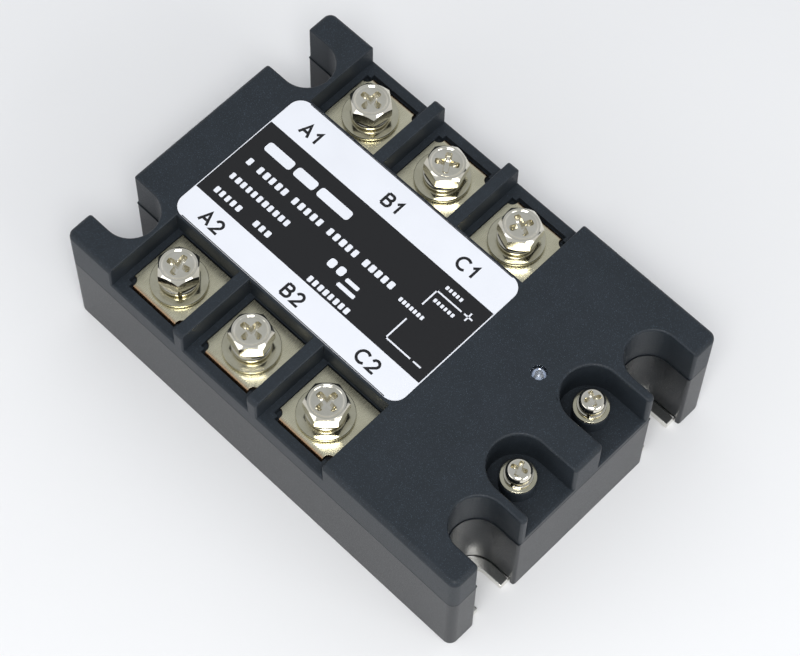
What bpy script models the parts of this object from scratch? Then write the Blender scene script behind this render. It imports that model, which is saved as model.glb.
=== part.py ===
"""Three-phase solid state relay, as separate pieces in their assembled places.

Metres, +Z up. The origin is the middle of the underside. +X points to the control end, and +Y to the
side of terminals a1, b1 and c1. Terminals a2, b2 and c2 are on the -Y side.
"""

import math

import bpy
from mathutils import Matrix

# Body
BODY_LENGTH = 0.1050
BODY_WIDTH = 0.0727
BODY_HEIGHT = 0.0310
PARTING_HEIGHT = 0.0204
CORNER_RADIUS = 0.0018
TOP_FILLET = 0.0012
WALL = 0.0021
ROOF = 0.0020
DECK_THICKNESS = 0.0030

# Mounting notches in both ends
NOTCH_END_DISTANCE = 0.0056
NOTCH_SIDE_DISTANCE = 0.0122
NOTCH_WIDTH = 0.0116

# Metal base
BASE_THICKNESS = 0.0020
BASE_INSET = 0.0013
BASE_CORNER_RADIUS = 0.0010
BASE_SLOT_WIDTH = 0.0065
SEAT_WIDTH = 0.0106
SEAT_DEPTH = 0.00015

# Power terminal bays, three on each side
BAY_LENGTH = 0.0175
RIB_THICKNESS = 0.0027
FIRST_BAY_END_DISTANCE = 0.0125
SPINE_WIDTH = 0.0367
DECK_HEIGHT = 0.0255

# Power terminals, each one strip bent twice
TERMINAL_WIDTH = 0.0144
TERMINAL_THICKNESS = 0.0010
TERMINAL_SINK = 0.0001
TERMINAL_EDGE = 0.0025
BEND_RADIUS = 0.0016
RELIEF_LENGTH = 0.0023
LEG_WIDTH = 0.0117
FOOT_LENGTH = 0.0108
FOOT_LANDING = 0.0020

# Power screws, M5 with a hexagon head
SCREW_EDGE_DISTANCE = 0.0099
SHANK_RADIUS = 0.00235
SHANK_LENGTH = 0.0098
SHANK_CHAMFER = 0.0004
HEAD_ACROSS_FLATS = 0.0080
HEAD_HEIGHT = 0.0034
HEAD_RIM_RADIUS = 0.0037
HEAD_RIM_WIDTH = 0.0004
HEAD_CHAMFER = 0.0005
HEAD_DISH = 0.0003
CROSS_ARM = 0.0025
CROSS_WIDTH = 0.0012
CROSS_DEPTH = 0.0016
FLAT_WASHER_RADIUS = 0.0058
FLAT_WASHER_THICKNESS = 0.0008
SPRING_WASHER_RADIUS = 0.0040
SPRING_WASHER_THICKNESS = 0.0010
SPRING_WASHER_SPLIT = 0.0008

# Clamping nuts and the bosses that hold them, under the terminals
NUT_ACROSS_FLATS = 0.0080
NUT_HEIGHT = 0.0038
NUT_BOSS_WALL = 0.0012
NUT_BOSS_FLOOR = 0.0012
SCREW_TIP_ROOM = 0.0008

# Control terminals
CONTROL_END_DISTANCE = 0.0085
CONTROL_PITCH = 0.0203
CONTROL_RECESS_WIDTH = 0.0127
CONTROL_FLOOR_THICKNESS = 0.00145
CONTROL_BOSS_RADIUS = 0.0036
CONTROL_BOSS_HEIGHT = 0.0036
CONTROL_SHANK_RADIUS = 0.00135
CONTROL_SHANK_LENGTH = 0.0080
CONTROL_SHANK_CHAMFER = 0.0003
CONTROL_HEAD_RADIUS = 0.0026
CONTROL_HEAD_HEIGHT = 0.0020
CONTROL_HEAD_ROUNDING = 0.0009
CONTROL_CROSS_ARM = 0.0015
CONTROL_CROSS_WIDTH = 0.0008
CONTROL_CROSS_DEPTH = 0.0011
CONTROL_FLAT_RADIUS = 0.0036
CONTROL_FLAT_THICKNESS = 0.0006
CONTROL_SPRING_RADIUS = 0.0029
CONTROL_SPRING_THICKNESS = 0.0008
CONTROL_SPRING_SPLIT = 0.0006
POST_RADIUS = 0.0023
POST_FOOT_RADIUS = 0.0032
POST_FOOT_HEIGHT = 0.0008

# Label in the top
LABEL_BEFORE_BAYS = 0.0023
LABEL_PAST_BAYS = 0.0011
LABEL_TO_SPINE_EDGE = 0.0005
LABEL_THICKNESS = 0.0002
LABEL_CORNER_RADIUS = 0.0030

# Status light
LED_END_DISTANCE = 0.0191
LED_Y = 0.0065
LED_RADIUS = 0.0015
LED_PROUD = 0.0001
LED_DOME_ANGLE = 75
LED_FLANGE_RADIUS = 0.0019
LED_FLANGE_THICKNESS = 0.0009
LED_LEAD_PITCH = 0.0020
LED_LEAD_SIZE = 0.0005

# Circuit board and its parts
BOARD_UNDERSIDE = 0.0100
BOARD_THICKNESS = 0.0016
BOARD_MARGIN = 0.0005
BOARD_TO_LEGS = 0.0013
LEDGE_DEPTH = 0.0020
LEDGE_WIDTH = 0.0120
OPTOCOUPLER_LENGTH = 0.0088
OPTOCOUPLER_WIDTH = 0.0064
OPTOCOUPLER_HEIGHT = 0.0034
LIMITER_WIDTH = 0.0048
LIMITER_FLAT = 0.0012
LIMITER_HEIGHT = 0.0046
LIMITER_STAND_OFF = 0.0020
LIMITER_LEAD_PITCH = 0.00127
LIMITER_LEAD_SIZE = 0.0004
LIMITER_TO_LED = 0.0064

# Power stage on the base
SUBSTRATE_WIDTH = 0.0146
SUBSTRATE_THICKNESS = 0.0010
THYRISTOR_SIZE = 0.0090
THYRISTOR_THICKNESS = 0.0005
THYRISTOR_PITCH = 0.0180

# Fits
CONTACT_GAP = 0.0003
STACK_GAP = 0.0002
EDGE_CLEARANCE = 0.00015
SCREW_HOLE_CLEARANCE = 0.00035
OVERSHOOT = 0.0010

# Fineness
ROUND_STEPS = 24
SMALL_ROUND_STEPS = 16
ARC_STEPS = 5
FILLET_STEPS = 3
SMOOTH_ANGLE = math.radians(35)

# Heights that follow
HOUSING_TOP = PARTING_HEIGHT - CONTACT_GAP / 2
COVER_BOTTOM = PARTING_HEIGHT + CONTACT_GAP / 2
HOUSING_FLOOR = BASE_THICKNESS + CONTACT_GAP
CEILING = BODY_HEIGHT - ROOF
DECK_UNDERSIDE = DECK_HEIGHT - DECK_THICKNESS
TERMINAL_TOP = DECK_HEIGHT - TERMINAL_SINK
TERMINAL_UNDERSIDE = TERMINAL_TOP - TERMINAL_THICKNESS
PLATE_POCKET_FLOOR = TERMINAL_UNDERSIDE - CONTACT_GAP
FLAT_WASHER_BOTTOM = TERMINAL_TOP + STACK_GAP
SPRING_WASHER_BOTTOM = FLAT_WASHER_BOTTOM + FLAT_WASHER_THICKNESS + STACK_GAP
HEAD_BOTTOM = SPRING_WASHER_BOTTOM + SPRING_WASHER_THICKNESS + STACK_GAP
SHANK_TIP = HEAD_BOTTOM - SHANK_LENGTH
NUT_BOTTOM = TERMINAL_UNDERSIDE - CONTACT_GAP - NUT_HEIGHT
NUT_POCKET_FLOOR = NUT_BOTTOM - CONTACT_GAP
TIP_HOLE_FLOOR = SHANK_TIP - SCREW_TIP_ROOM
NUT_BOSS_BOTTOM = TIP_HOLE_FLOOR - NUT_BOSS_FLOOR
CONTROL_FLOOR_HEIGHT = COVER_BOTTOM + CONTROL_FLOOR_THICKNESS
CONTROL_BOSS_TOP = CONTROL_FLOOR_HEIGHT + CONTROL_BOSS_HEIGHT
CONTROL_FLAT_BOTTOM = CONTROL_BOSS_TOP + STACK_GAP
CONTROL_SPRING_BOTTOM = CONTROL_FLAT_BOTTOM + CONTROL_FLAT_THICKNESS + STACK_GAP
CONTROL_HEAD_BOTTOM = CONTROL_SPRING_BOTTOM + CONTROL_SPRING_THICKNESS + STACK_GAP
CONTROL_TIP = CONTROL_HEAD_BOTTOM - CONTROL_SHANK_LENGTH
LABEL_FLOOR = BODY_HEIGHT - LABEL_THICKNESS - STACK_GAP
SUBSTRATE_BOTTOM = BASE_THICKNESS + CONTACT_GAP
CHIP_BOTTOM = SUBSTRATE_BOTTOM + SUBSTRATE_THICKNESS + CONTACT_GAP
BOARD_TOP = BOARD_UNDERSIDE + BOARD_THICKNESS
ON_BOARD = BOARD_TOP + CONTACT_GAP

# Places that follow
HALF_LENGTH = BODY_LENGTH / 2
HALF_WIDTH = BODY_WIDTH / 2
HALF_SPINE = SPINE_WIDTH / 2
BAYS_START = FIRST_BAY_END_DISTANCE - HALF_LENGTH
BAY_CENTRES = [BAYS_START + BAY_LENGTH / 2 + i * (BAY_LENGTH + RIB_THICKNESS) for i in range(3)]
BAYS_END = BAY_CENTRES[-1] + BAY_LENGTH / 2
NOTCH_X = HALF_LENGTH - NOTCH_END_DISTANCE
NOTCH_Y = HALF_WIDTH - NOTCH_SIDE_DISTANCE
CONTROL_SCREW_X = HALF_LENGTH - CONTROL_END_DISTANCE
LED_X = HALF_LENGTH - LED_END_DISTANCE
LABEL_START = BAYS_START - LABEL_BEFORE_BAYS
LABEL_END = BAYS_END + LABEL_PAST_BAYS
LABEL_HALF_WIDTH = HALF_SPINE - LABEL_TO_SPINE_EDGE
POWER_SCREW_Y = HALF_WIDTH - SCREW_EDGE_DISTANCE
TERMINAL_OUTER_Y = HALF_WIDTH - TERMINAL_EDGE
TERMINAL_INNER_Y = HALF_SPINE + CONTACT_GAP + EDGE_CLEARANCE
RELIEF_RADIUS = (TERMINAL_WIDTH - LEG_WIDTH) / 2
SHANK_HOLE_RADIUS = SHANK_RADIUS + SCREW_HOLE_CLEARANCE
CONTROL_HOLE_RADIUS = CONTROL_SHANK_RADIUS + SCREW_HOLE_CLEARANCE
CONTROL_RECESS_END_X = CONTROL_SCREW_X - CONTROL_RECESS_WIDTH / 2
WIDE_CAVITY_X = NOTCH_X - NOTCH_WIDTH / 2 - WALL
WIDE_CAVITY_Y = HALF_WIDTH - WALL
END_CAVITY_X = HALF_LENGTH - WALL
END_CAVITY_Y = NOTCH_Y - NOTCH_WIDTH / 2 - WALL
COVER_CAVITY_END_X = CONTROL_RECESS_END_X - WALL
BASE_HALF_LENGTH = HALF_LENGTH - BASE_INSET
BASE_HALF_WIDTH = HALF_WIDTH - BASE_INSET
BOARD_HALF_WIDTH = TERMINAL_OUTER_Y - TERMINAL_THICKNESS - BOARD_TO_LEGS
SUBSTRATE_LENGTH = 2 * (TERMINAL_OUTER_Y - FOOT_LENGTH + FOOT_LANDING)

PHASES = dict(zip("abc", BAY_CENTRES))
SIDES = {"1": 1, "2": -1}
PHASE_PLACES = {phase: (x, 0) for phase, x in PHASES.items()}
POWER_PLACES = {
    phase + number: (x, side * POWER_SCREW_Y)
    for phase, x in PHASES.items()
    for number, side in SIDES.items()
}
THYRISTOR_PLACES = {
    phase + number: (x, side * THYRISTOR_PITCH / 2)
    for phase, x in PHASES.items()
    for number, side in SIDES.items()
}
CONTROL_PLACES = {
    "plus": (CONTROL_SCREW_X, CONTROL_PITCH / 2),
    "minus": (CONTROL_SCREW_X, -CONTROL_PITCH / 2),
}


# Outlines: lists of (u, v) points that run anticlockwise

def arc(centre_u, centre_v, radius, start, end, steps):
    """Points on an arc between two angles in degrees, both ends included."""
    angles = [math.radians(start + (end - start) * i / steps) for i in range(steps + 1)]
    return [(centre_u + radius * math.cos(a), centre_v + radius * math.sin(a)) for a in angles]


def circle(centre_u, centre_v, radius, steps=ROUND_STEPS):
    return arc(centre_u, centre_v, radius, 0, 360, steps)[:-1]


def rectangle(u0, u1, v0, v1):
    return [(u0, v0), (u1, v0), (u1, v1), (u0, v1)]


def rounded_rectangle(u0, u1, v0, v1, radius):
    points = arc(u1 - radius, v0 + radius, radius, -90, 0, ARC_STEPS)
    points += arc(u1 - radius, v1 - radius, radius, 0, 90, ARC_STEPS)
    points += arc(u0 + radius, v1 - radius, radius, 90, 180, ARC_STEPS)
    points += arc(u0 + radius, v0 + radius, radius, 180, 270, ARC_STEPS)
    return points


def body_outline(inset):
    half_x, half_y = HALF_LENGTH - inset, HALF_WIDTH - inset
    return rounded_rectangle(-half_x, half_x, -half_y, half_y, CORNER_RADIUS - inset)


def end_slot(side_x, arc_x, centre_y, width):
    """A slot with a round inner end, which runs out past the end of the body."""
    open_end = HALF_LENGTH + OVERSHOOT
    points = arc(arc_x, centre_y, width / 2, 90, 270, 2 * ARC_STEPS)
    points += [(open_end, centre_y - width / 2), (open_end, centre_y + width / 2)]
    return points if side_x > 0 else [(-u, v) for u, v in reversed(points)]


def cross_outline(long_x, long_y, wide_x, wide_y):
    """A long rectangle and a wide one over each other, both centred."""
    quarter = [(long_x, long_y), (wide_x, long_y), (wide_x, wide_y)]
    half = quarter + [(-u, v) for u, v in reversed(quarter)]
    return half + [(-u, -v) for u, v in half]


def hexagon(across_flats, limit=math.inf):
    """A hexagon as a ring of many points, kept within a radius."""
    sixth = math.pi / 3
    angles = [2 * math.pi * i / ROUND_STEPS for i in range(ROUND_STEPS)]
    radii = [min(limit, across_flats / 2 / math.cos(a % sixth - sixth / 2)) for a in angles]
    return [(r * math.cos(a), r * math.sin(a)) for a, r in zip(angles, radii)]


def split_ring(outer, inner, split):
    """A ring with a straight split across it, on the +u side."""
    outer_angle = math.degrees(math.asin(split / 2 / outer))
    inner_angle = math.degrees(math.asin(split / 2 / inner))
    points = arc(0, 0, outer, outer_angle, 360 - outer_angle, ROUND_STEPS)
    return points + arc(0, 0, inner, 360 - inner_angle, inner_angle, ROUND_STEPS)


# Solids

def mesh_object(name, points, faces):
    mesh = bpy.data.meshes.new(name)
    mesh.from_pydata(points, [], faces)
    mesh.update()
    obj = bpy.data.objects.new(name, mesh)
    bpy.context.scene.collection.objects.link(obj)
    return obj


def lofted(name, rings):
    """A closed solid through rings of equally many points, each anticlockwise from above, bottom first."""
    count = len(rings[0])
    faces = [list(reversed(range(count)))]
    for low in range(0, (len(rings) - 1) * count, count):
        for i in range(count):
            j = (i + 1) % count
            faces.append([low + i, low + j, low + count + j, low + count + i])
    faces.append([(len(rings) - 1) * count + i for i in range(count)])
    return mesh_object(name, [point for ring in rings for point in ring], faces)


def stacked(name, levels):
    """A solid through flat outlines at their heights, given as (outline, height) pairs, bottom first."""
    return lofted(name, [[(u, v, z) for u, v in outline] for outline, z in levels])


def prism(name, outline, bottom, top):
    return stacked(name, [(outline, bottom), (outline, top)])


def box(name, x0, x1, y0, y1, z0, z1):
    return prism(name, rectangle(x0, x1, y0, y1), z0, z1)


def turned(name, profile, steps=ROUND_STEPS):
    """A round solid about Z from (radius, height) pairs, bottom first."""
    return stacked(name, [(circle(0, 0, radius, steps), z) for radius, z in profile])


def ring(name, outer, inner, bottom, thickness):
    """A flat round washer about Z."""
    top = bottom + thickness
    loop = [(inner, bottom), (outer, bottom), (outer, top), (inner, top)]
    points, faces = [], []
    for step in range(ROUND_STEPS):
        angle = 2 * math.pi * step / ROUND_STEPS
        points += [(r * math.cos(angle), r * math.sin(angle), z) for r, z in loop]
        here = step * len(loop)
        there = (step + 1) % ROUND_STEPS * len(loop)
        for i in range(len(loop)):
            j = (i + 1) % len(loop)
            faces.append([here + i, there + i, there + j, here + j])
    return mesh_object(name, points, faces)


def split_washer(name, outer, inner, split, bottom, thickness):
    return prism(name, split_ring(outer, inner, split), bottom, bottom + thickness)


def moved(obj, x, y):
    obj.data.transform(Matrix.Translation((x, y, 0)))
    return obj


def on_side(obj, side):
    """Turned half round for the -Y side."""
    if side < 0:
        obj.data.transform(Matrix.Rotation(math.pi, 4, "Z"))
    return obj


def discard(obj):
    mesh = obj.data
    bpy.data.objects.remove(obj)
    bpy.data.meshes.remove(mesh)


def combine(target, tools, operation):
    """Cuts the tools from the target, or adds them to it, and uses them up."""
    for tool in tools:
        modifier = target.modifiers.new(tool.name, "BOOLEAN")
        modifier.operation = operation
        modifier.solver = "EXACT"
        modifier.object = tool
        bpy.context.view_layer.update()
        evaluated = target.evaluated_get(bpy.context.evaluated_depsgraph_get())
        combined = bpy.data.meshes.new_from_object(evaluated)
        target.modifiers.clear()
        replaced, target.data = target.data, combined
        bpy.data.meshes.remove(replaced)
        discard(tool)
    target.data.name = target.name


def cut(target, tools):
    combine(target, tools, "DIFFERENCE")


def add(target, tools):
    combine(target, tools, "UNION")


def finish(obj, surface):
    """Gives the object its one material, and shades its round stretches smooth."""
    obj.data.materials.clear()
    obj.data.materials.append(surface)
    obj.data.shade_smooth()
    obj.data.set_sharp_from_angle(angle=SMOOTH_ANGLE)


def copies(pattern, stem, places, surface):
    """One object per place, sharing the pattern's mesh, with its origin on its own axis."""
    finish(pattern, surface)
    for suffix, (x, y) in places.items():
        obj = bpy.data.objects.new(f"{stem}_{suffix}", pattern.data)
        obj.location = (x, y, 0)
        obj.rotation_euler.z = 0 if y >= 0 else math.pi
        bpy.context.scene.collection.objects.link(obj)
    bpy.data.objects.remove(pattern)


def principled(name, colour, roughness, metallic=0.0, transmission=0.0):
    made = bpy.data.materials.new(name)
    made.use_nodes = True
    shader = made.node_tree.nodes["Principled BSDF"]
    shader.inputs["Base Color"].default_value = (*colour, 1)
    shader.inputs["Roughness"].default_value = roughness
    shader.inputs["Metallic"].default_value = metallic
    shader.inputs["Transmission Weight"].default_value = transmission
    return made


# Lower shell and base

def notch_outlines(width):
    return [end_slot(side_x, NOTCH_X, side_y * NOTCH_Y, width) for side_x in (-1, 1) for side_y in (-1, 1)]


def four_notches(width, bottom, top):
    for outline in notch_outlines(width):
        yield prism("notch", outline, bottom, top)


def board_ledges():
    half = LEDGE_WIDTH / 2
    top = BOARD_UNDERSIDE - CONTACT_GAP
    for side in (-1, 1):
        ends = sorted((side * (END_CAVITY_X - LEDGE_DEPTH), side * (END_CAVITY_X + WALL / 2)))
        yield box("ledge", *ends, -half, half, HOUSING_FLOOR, top)


def make_lower_housing():
    housing = prism("lower_housing", body_outline(0), 0, HOUSING_TOP)
    rabbet = body_outline(BASE_INSET - CONTACT_GAP)
    cavity = cross_outline(END_CAVITY_X, END_CAVITY_Y, WIDE_CAVITY_X, WIDE_CAVITY_Y)
    above = HOUSING_TOP + OVERSHOOT
    cut(housing, four_notches(NOTCH_WIDTH, -OVERSHOOT, above))
    cut(housing, [prism("base_rabbet", rabbet, -OVERSHOOT, HOUSING_FLOOR)])
    cut(housing, [prism("cavity", cavity, HOUSING_FLOOR - OVERSHOOT, above)])
    add(housing, board_ledges())
    finish(housing, principled("lower_housing_plastic", (0.060, 0.063, 0.068), 0.45))


def screw_seat_cutters():
    """A shallow spot face round each slot, with sloping sides."""
    bottom, above = BASE_THICKNESS - SEAT_DEPTH, BASE_THICKNESS + SEAT_DEPTH
    for low, high in zip(notch_outlines(SEAT_WIDTH), notch_outlines(SEAT_WIDTH + 4 * SEAT_DEPTH)):
        yield stacked("screw_seat", [(low, bottom), (high, above)])


def make_baseplate():
    half_x, half_y = BASE_HALF_LENGTH, BASE_HALF_WIDTH
    outline = rounded_rectangle(-half_x, half_x, -half_y, half_y, BASE_CORNER_RADIUS)
    base = prism("baseplate", outline, 0, BASE_THICKNESS)
    cut(base, screw_seat_cutters())
    cut(base, four_notches(BASE_SLOT_WIDTH, -OVERSHOOT, BASE_THICKNESS + OVERSHOOT))
    finish(base, principled("baseplate_nickel", (0.62, 0.60, 0.56), 0.30, metallic=1.0))


# Upper shell and label

def cover_blank():
    """The cover before anything is cut from it, with its top edge rounded."""
    levels = [(body_outline(0), COVER_BOTTOM)]
    for inset, drop in arc(TOP_FILLET, TOP_FILLET, TOP_FILLET, 180, 270, FILLET_STEPS):
        levels.append((body_outline(inset), BODY_HEIGHT - drop))
    return stacked("top_cover", levels)


def bay_cutters():
    half = BAY_LENGTH / 2
    for x in BAY_CENTRES:
        for side in (-1, 1):
            ys = sorted((side * HALF_SPINE, side * (HALF_WIDTH + OVERSHOOT)))
            yield box("bay", x - half, x + half, *ys, DECK_HEIGHT, BODY_HEIGHT + OVERSHOOT)


def control_recess_cutters():
    for x, y in CONTROL_PLACES.values():
        outline = end_slot(1, x, y, CONTROL_RECESS_WIDTH)
        yield prism("control_recess", outline, CONTROL_FLOOR_HEIGHT, BODY_HEIGHT + OVERSHOOT)


def cover_cavity_cutters():
    """The hollow under the decks, under the spine, and beside the control terminals."""
    below = COVER_BOTTOM - OVERSHOOT
    wide, end = WIDE_CAVITY_Y, COVER_CAVITY_END_X
    yield box("under_decks", -WIDE_CAVITY_X, end, -wide, wide, below, DECK_UNDERSIDE)
    yield box("under_spine", -END_CAVITY_X, end, -END_CAVITY_Y, END_CAVITY_Y, below, CEILING)
    yield box("control_side", BAYS_END + WALL, end, -wide, wide, below, CEILING)


def nut_bosses():
    half_x = NUT_ACROSS_FLATS / math.sqrt(3) + CONTACT_GAP + NUT_BOSS_WALL
    half_y = NUT_ACROSS_FLATS / 2 + CONTACT_GAP + NUT_BOSS_WALL
    top = DECK_UNDERSIDE + DECK_THICKNESS / 3
    for x, y in POWER_PLACES.values():
        yield box("nut_boss", x - half_x, x + half_x, y - half_y, y + half_y, NUT_BOSS_BOTTOM, top)


def nut_pocket_cutters():
    pocket = hexagon(NUT_ACROSS_FLATS + 2 * CONTACT_GAP)
    tip_hole = circle(0, 0, SHANK_HOLE_RADIUS)
    above = DECK_HEIGHT + OVERSHOOT
    for x, y in POWER_PLACES.values():
        yield moved(prism("nut_pocket", pocket, NUT_POCKET_FLOOR, above), x, y)
        yield moved(prism("tip_hole", tip_hole, TIP_HOLE_FLOOR, above), x, y)


def plate_pocket_outline():
    """Round a +Y terminal's plate and leg seen from above, about its bay's middle."""
    half_plate = TERMINAL_WIDTH / 2 + CONTACT_GAP
    half_leg = LEG_WIDTH / 2 + CONTACT_GAP
    shoulder = TERMINAL_OUTER_Y - RELIEF_LENGTH + RELIEF_RADIUS + CONTACT_GAP
    inner = TERMINAL_INNER_Y - CONTACT_GAP
    outer = TERMINAL_OUTER_Y + CONTACT_GAP
    right = [(half_plate, inner), (half_plate, shoulder), (half_leg, shoulder), (half_leg, outer)]
    return right + [(-u, v) for u, v in reversed(right)]


def terminal_cutters():
    """The pocket that each terminal's plate lies in, and the slot that its leg goes down through."""
    half_slot = LEG_WIDTH / 2 + CONTACT_GAP
    slot_inner = TERMINAL_OUTER_Y - TERMINAL_THICKNESS - CONTACT_GAP
    slot_outer = TERMINAL_OUTER_Y + CONTACT_GAP
    below, above = DECK_UNDERSIDE - OVERSHOOT, DECK_HEIGHT + OVERSHOOT
    for x in BAY_CENTRES:
        for side in (-1, 1):
            pocket = prism("plate_pocket", plate_pocket_outline(), PLATE_POCKET_FLOOR, above)
            slot = box("leg_slot", -half_slot, half_slot, slot_inner, slot_outer, below, above)
            yield moved(on_side(pocket, side), x, 0)
            yield moved(on_side(slot, side), x, 0)


def control_bosses():
    bottom = CONTROL_FLOOR_HEIGHT - OVERSHOOT
    for x, y in CONTROL_PLACES.values():
        yield prism("boss", circle(x, y, CONTROL_BOSS_RADIUS), bottom, CONTROL_BOSS_TOP)


def control_bore_cutters():
    bottom, top = COVER_BOTTOM - OVERSHOOT, CONTROL_BOSS_TOP + OVERSHOOT
    for x, y in CONTROL_PLACES.values():
        yield prism("bore", circle(x, y, POST_RADIUS + CONTACT_GAP), bottom, top)


def label_outline(grow):
    half_width = LABEL_HALF_WIDTH + grow
    radius = LABEL_CORNER_RADIUS + grow
    return rounded_rectangle(LABEL_START - grow, LABEL_END + grow, -half_width, half_width, radius)


def make_top_cover():
    cover = cover_blank()
    above = BODY_HEIGHT + OVERSHOOT
    led_hole = circle(LED_X, LED_Y, LED_RADIUS + EDGE_CLEARANCE, SMALL_ROUND_STEPS)
    cut(cover, four_notches(NOTCH_WIDTH, COVER_BOTTOM - OVERSHOOT, above))
    cut(cover, bay_cutters())
    cut(cover, control_recess_cutters())
    cut(cover, cover_cavity_cutters())
    add(cover, nut_bosses())
    cut(cover, nut_pocket_cutters())
    cut(cover, terminal_cutters())
    add(cover, control_bosses())
    cut(cover, control_bore_cutters())
    cut(cover, [prism("label_recess", label_outline(EDGE_CLEARANCE), LABEL_FLOOR, above)])
    cut(cover, [prism("led_hole", led_hole, CEILING - OVERSHOOT, above)])
    finish(cover, principled("top_cover_plastic", (0.030, 0.036, 0.044), 0.50))


def make_label():
    label = prism("label", label_outline(0), LABEL_FLOOR + STACK_GAP, BODY_HEIGHT)
    finish(label, principled("label_print", (0.86, 0.87, 0.90), 0.40))


# Power terminals and their fasteners. Each pattern is made for the +Y side, about its screw's axis.

def strip_outline():
    """A terminal seen from its +X side, as (y, z) points: foot, bend, leg, bend and plate."""
    outer, thick, bend = TERMINAL_OUTER_Y, TERMINAL_THICKNESS, BEND_RADIUS
    lower, upper = CHIP_BOTTOM + bend, TERMINAL_TOP - bend
    foot_end = outer - FOOT_LENGTH
    outside = [(foot_end, CHIP_BOTTOM)]
    outside += arc(outer - bend, lower, bend, -90, 0, ARC_STEPS)
    outside += arc(outer - bend, upper, bend, 0, 90, ARC_STEPS)
    outside += [(TERMINAL_INNER_Y, TERMINAL_TOP)]
    inside = [(TERMINAL_INNER_Y, TERMINAL_UNDERSIDE)]
    inside += arc(outer - bend, upper, bend - thick, 90, 0, ARC_STEPS)
    inside += arc(outer - bend, lower, bend - thick, 0, -90, ARC_STEPS)
    inside += [(foot_end, CHIP_BOTTOM + thick)]
    return outside + inside


def relief_outline():
    """What is cut from the plate's outer corner on the +X side, down to the leg's width."""
    half_leg, half_plate = LEG_WIDTH / 2, TERMINAL_WIDTH / 2
    wide = half_plate + OVERSHOOT
    start = TERMINAL_OUTER_Y - RELIEF_LENGTH
    far = TERMINAL_OUTER_Y + OVERSHOOT
    curve = arc(half_plate, start + RELIEF_RADIUS, RELIEF_RADIUS, 180, 270, ARC_STEPS)
    return [(half_leg, far)] + curve + [(wide, start), (wide, far)]


def terminal_pattern():
    half = TERMINAL_WIDTH / 2
    strip = lofted("terminal", [[(x, y, z) for y, z in strip_outline()] for x in (-half, half)])
    below, above = CHIP_BOTTOM - OVERSHOOT, TERMINAL_TOP + OVERSHOOT
    near, far = TERMINAL_INNER_Y - OVERSHOOT, TERMINAL_OUTER_Y + OVERSHOOT
    leg_top = TERMINAL_TOP - BEND_RADIUS
    other_relief = [(-u, v) for u, v in reversed(relief_outline())]
    cut(strip, [prism("relief", outline, below, above) for outline in (relief_outline(), other_relief)])
    cut(strip, [box("leg_side", LEG_WIDTH / 2, half + OVERSHOOT, near, far, below, leg_top)])
    cut(strip, [box("leg_side", -half - OVERSHOOT, -LEG_WIDTH / 2, near, far, below, leg_top)])
    hole = circle(0, POWER_SCREW_Y, SHANK_HOLE_RADIUS)
    cut(strip, [prism("hole", hole, TERMINAL_UNDERSIDE - OVERSHOOT, above)])
    return moved(strip, 0, -POWER_SCREW_Y)


def screwdriver_cross(arm, width, depth, top):
    """A screwdriver's cross, as two bars to cut away."""
    half = width / 2
    yield box("cross", -arm, arm, -half, half, top - depth, top + OVERSHOOT)
    yield box("cross", -half, half, -arm, arm, top - depth, top + OVERSHOOT)


def power_screw_pattern():
    shank, head = circle(0, 0, SHANK_RADIUS), hexagon(HEAD_ACROSS_FLATS)
    top = HEAD_BOTTOM + HEAD_HEIGHT
    dish = HEAD_RIM_RADIUS - HEAD_RIM_WIDTH
    levels = [
        (circle(0, 0, SHANK_RADIUS - SHANK_CHAMFER), SHANK_TIP),
        (shank, SHANK_TIP + SHANK_CHAMFER),
        (shank, HEAD_BOTTOM),
        (head, HEAD_BOTTOM),
        (head, top - HEAD_CHAMFER),
        (hexagon(HEAD_ACROSS_FLATS, HEAD_RIM_RADIUS), top),
        (circle(0, 0, dish), top),
        (circle(0, 0, dish - HEAD_DISH), top - HEAD_DISH),
    ]
    screw = stacked("power_screw", levels)
    cut(screw, screwdriver_cross(CROSS_ARM, CROSS_WIDTH, CROSS_DEPTH, top))
    return screw


def nut_pattern():
    nut = prism("nut", hexagon(NUT_ACROSS_FLATS), NUT_BOTTOM, NUT_BOTTOM + NUT_HEIGHT)
    bore = circle(0, 0, SHANK_HOLE_RADIUS)
    cut(nut, [prism("bore", bore, NUT_BOTTOM - OVERSHOOT, NUT_BOTTOM + NUT_HEIGHT + OVERSHOOT)])
    return nut


def make_power_terminals():
    places, hole = POWER_PLACES, SHANK_HOLE_RADIUS
    flat = ring("flat", FLAT_WASHER_RADIUS, hole, FLAT_WASHER_BOTTOM, FLAT_WASHER_THICKNESS)
    spring_bottom, spring_thickness = SPRING_WASHER_BOTTOM, SPRING_WASHER_THICKNESS
    spring = split_washer(
        "spring", SPRING_WASHER_RADIUS, hole, SPRING_WASHER_SPLIT, spring_bottom, spring_thickness
    )
    copies(terminal_pattern(), "terminal", places, principled("terminal_tin", (0.55, 0.53, 0.46), 0.34, 1.0))
    copies(nut_pattern(), "clamp_nut", places, principled("nut_zinc", (0.66, 0.66, 0.65), 0.40, 1.0))
    copies(flat, "power_flat_washer", places, principled("flat_zinc", (0.74, 0.74, 0.73), 0.30, 1.0))
    copies(spring, "power_spring_washer", places, principled("spring_zinc", (0.70, 0.70, 0.70), 0.32, 1.0))
    bright_zinc = principled("screw_zinc", (0.80, 0.80, 0.80), 0.22, 1.0)
    copies(power_screw_pattern(), "power_screw", places, bright_zinc)


# Control terminals

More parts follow.
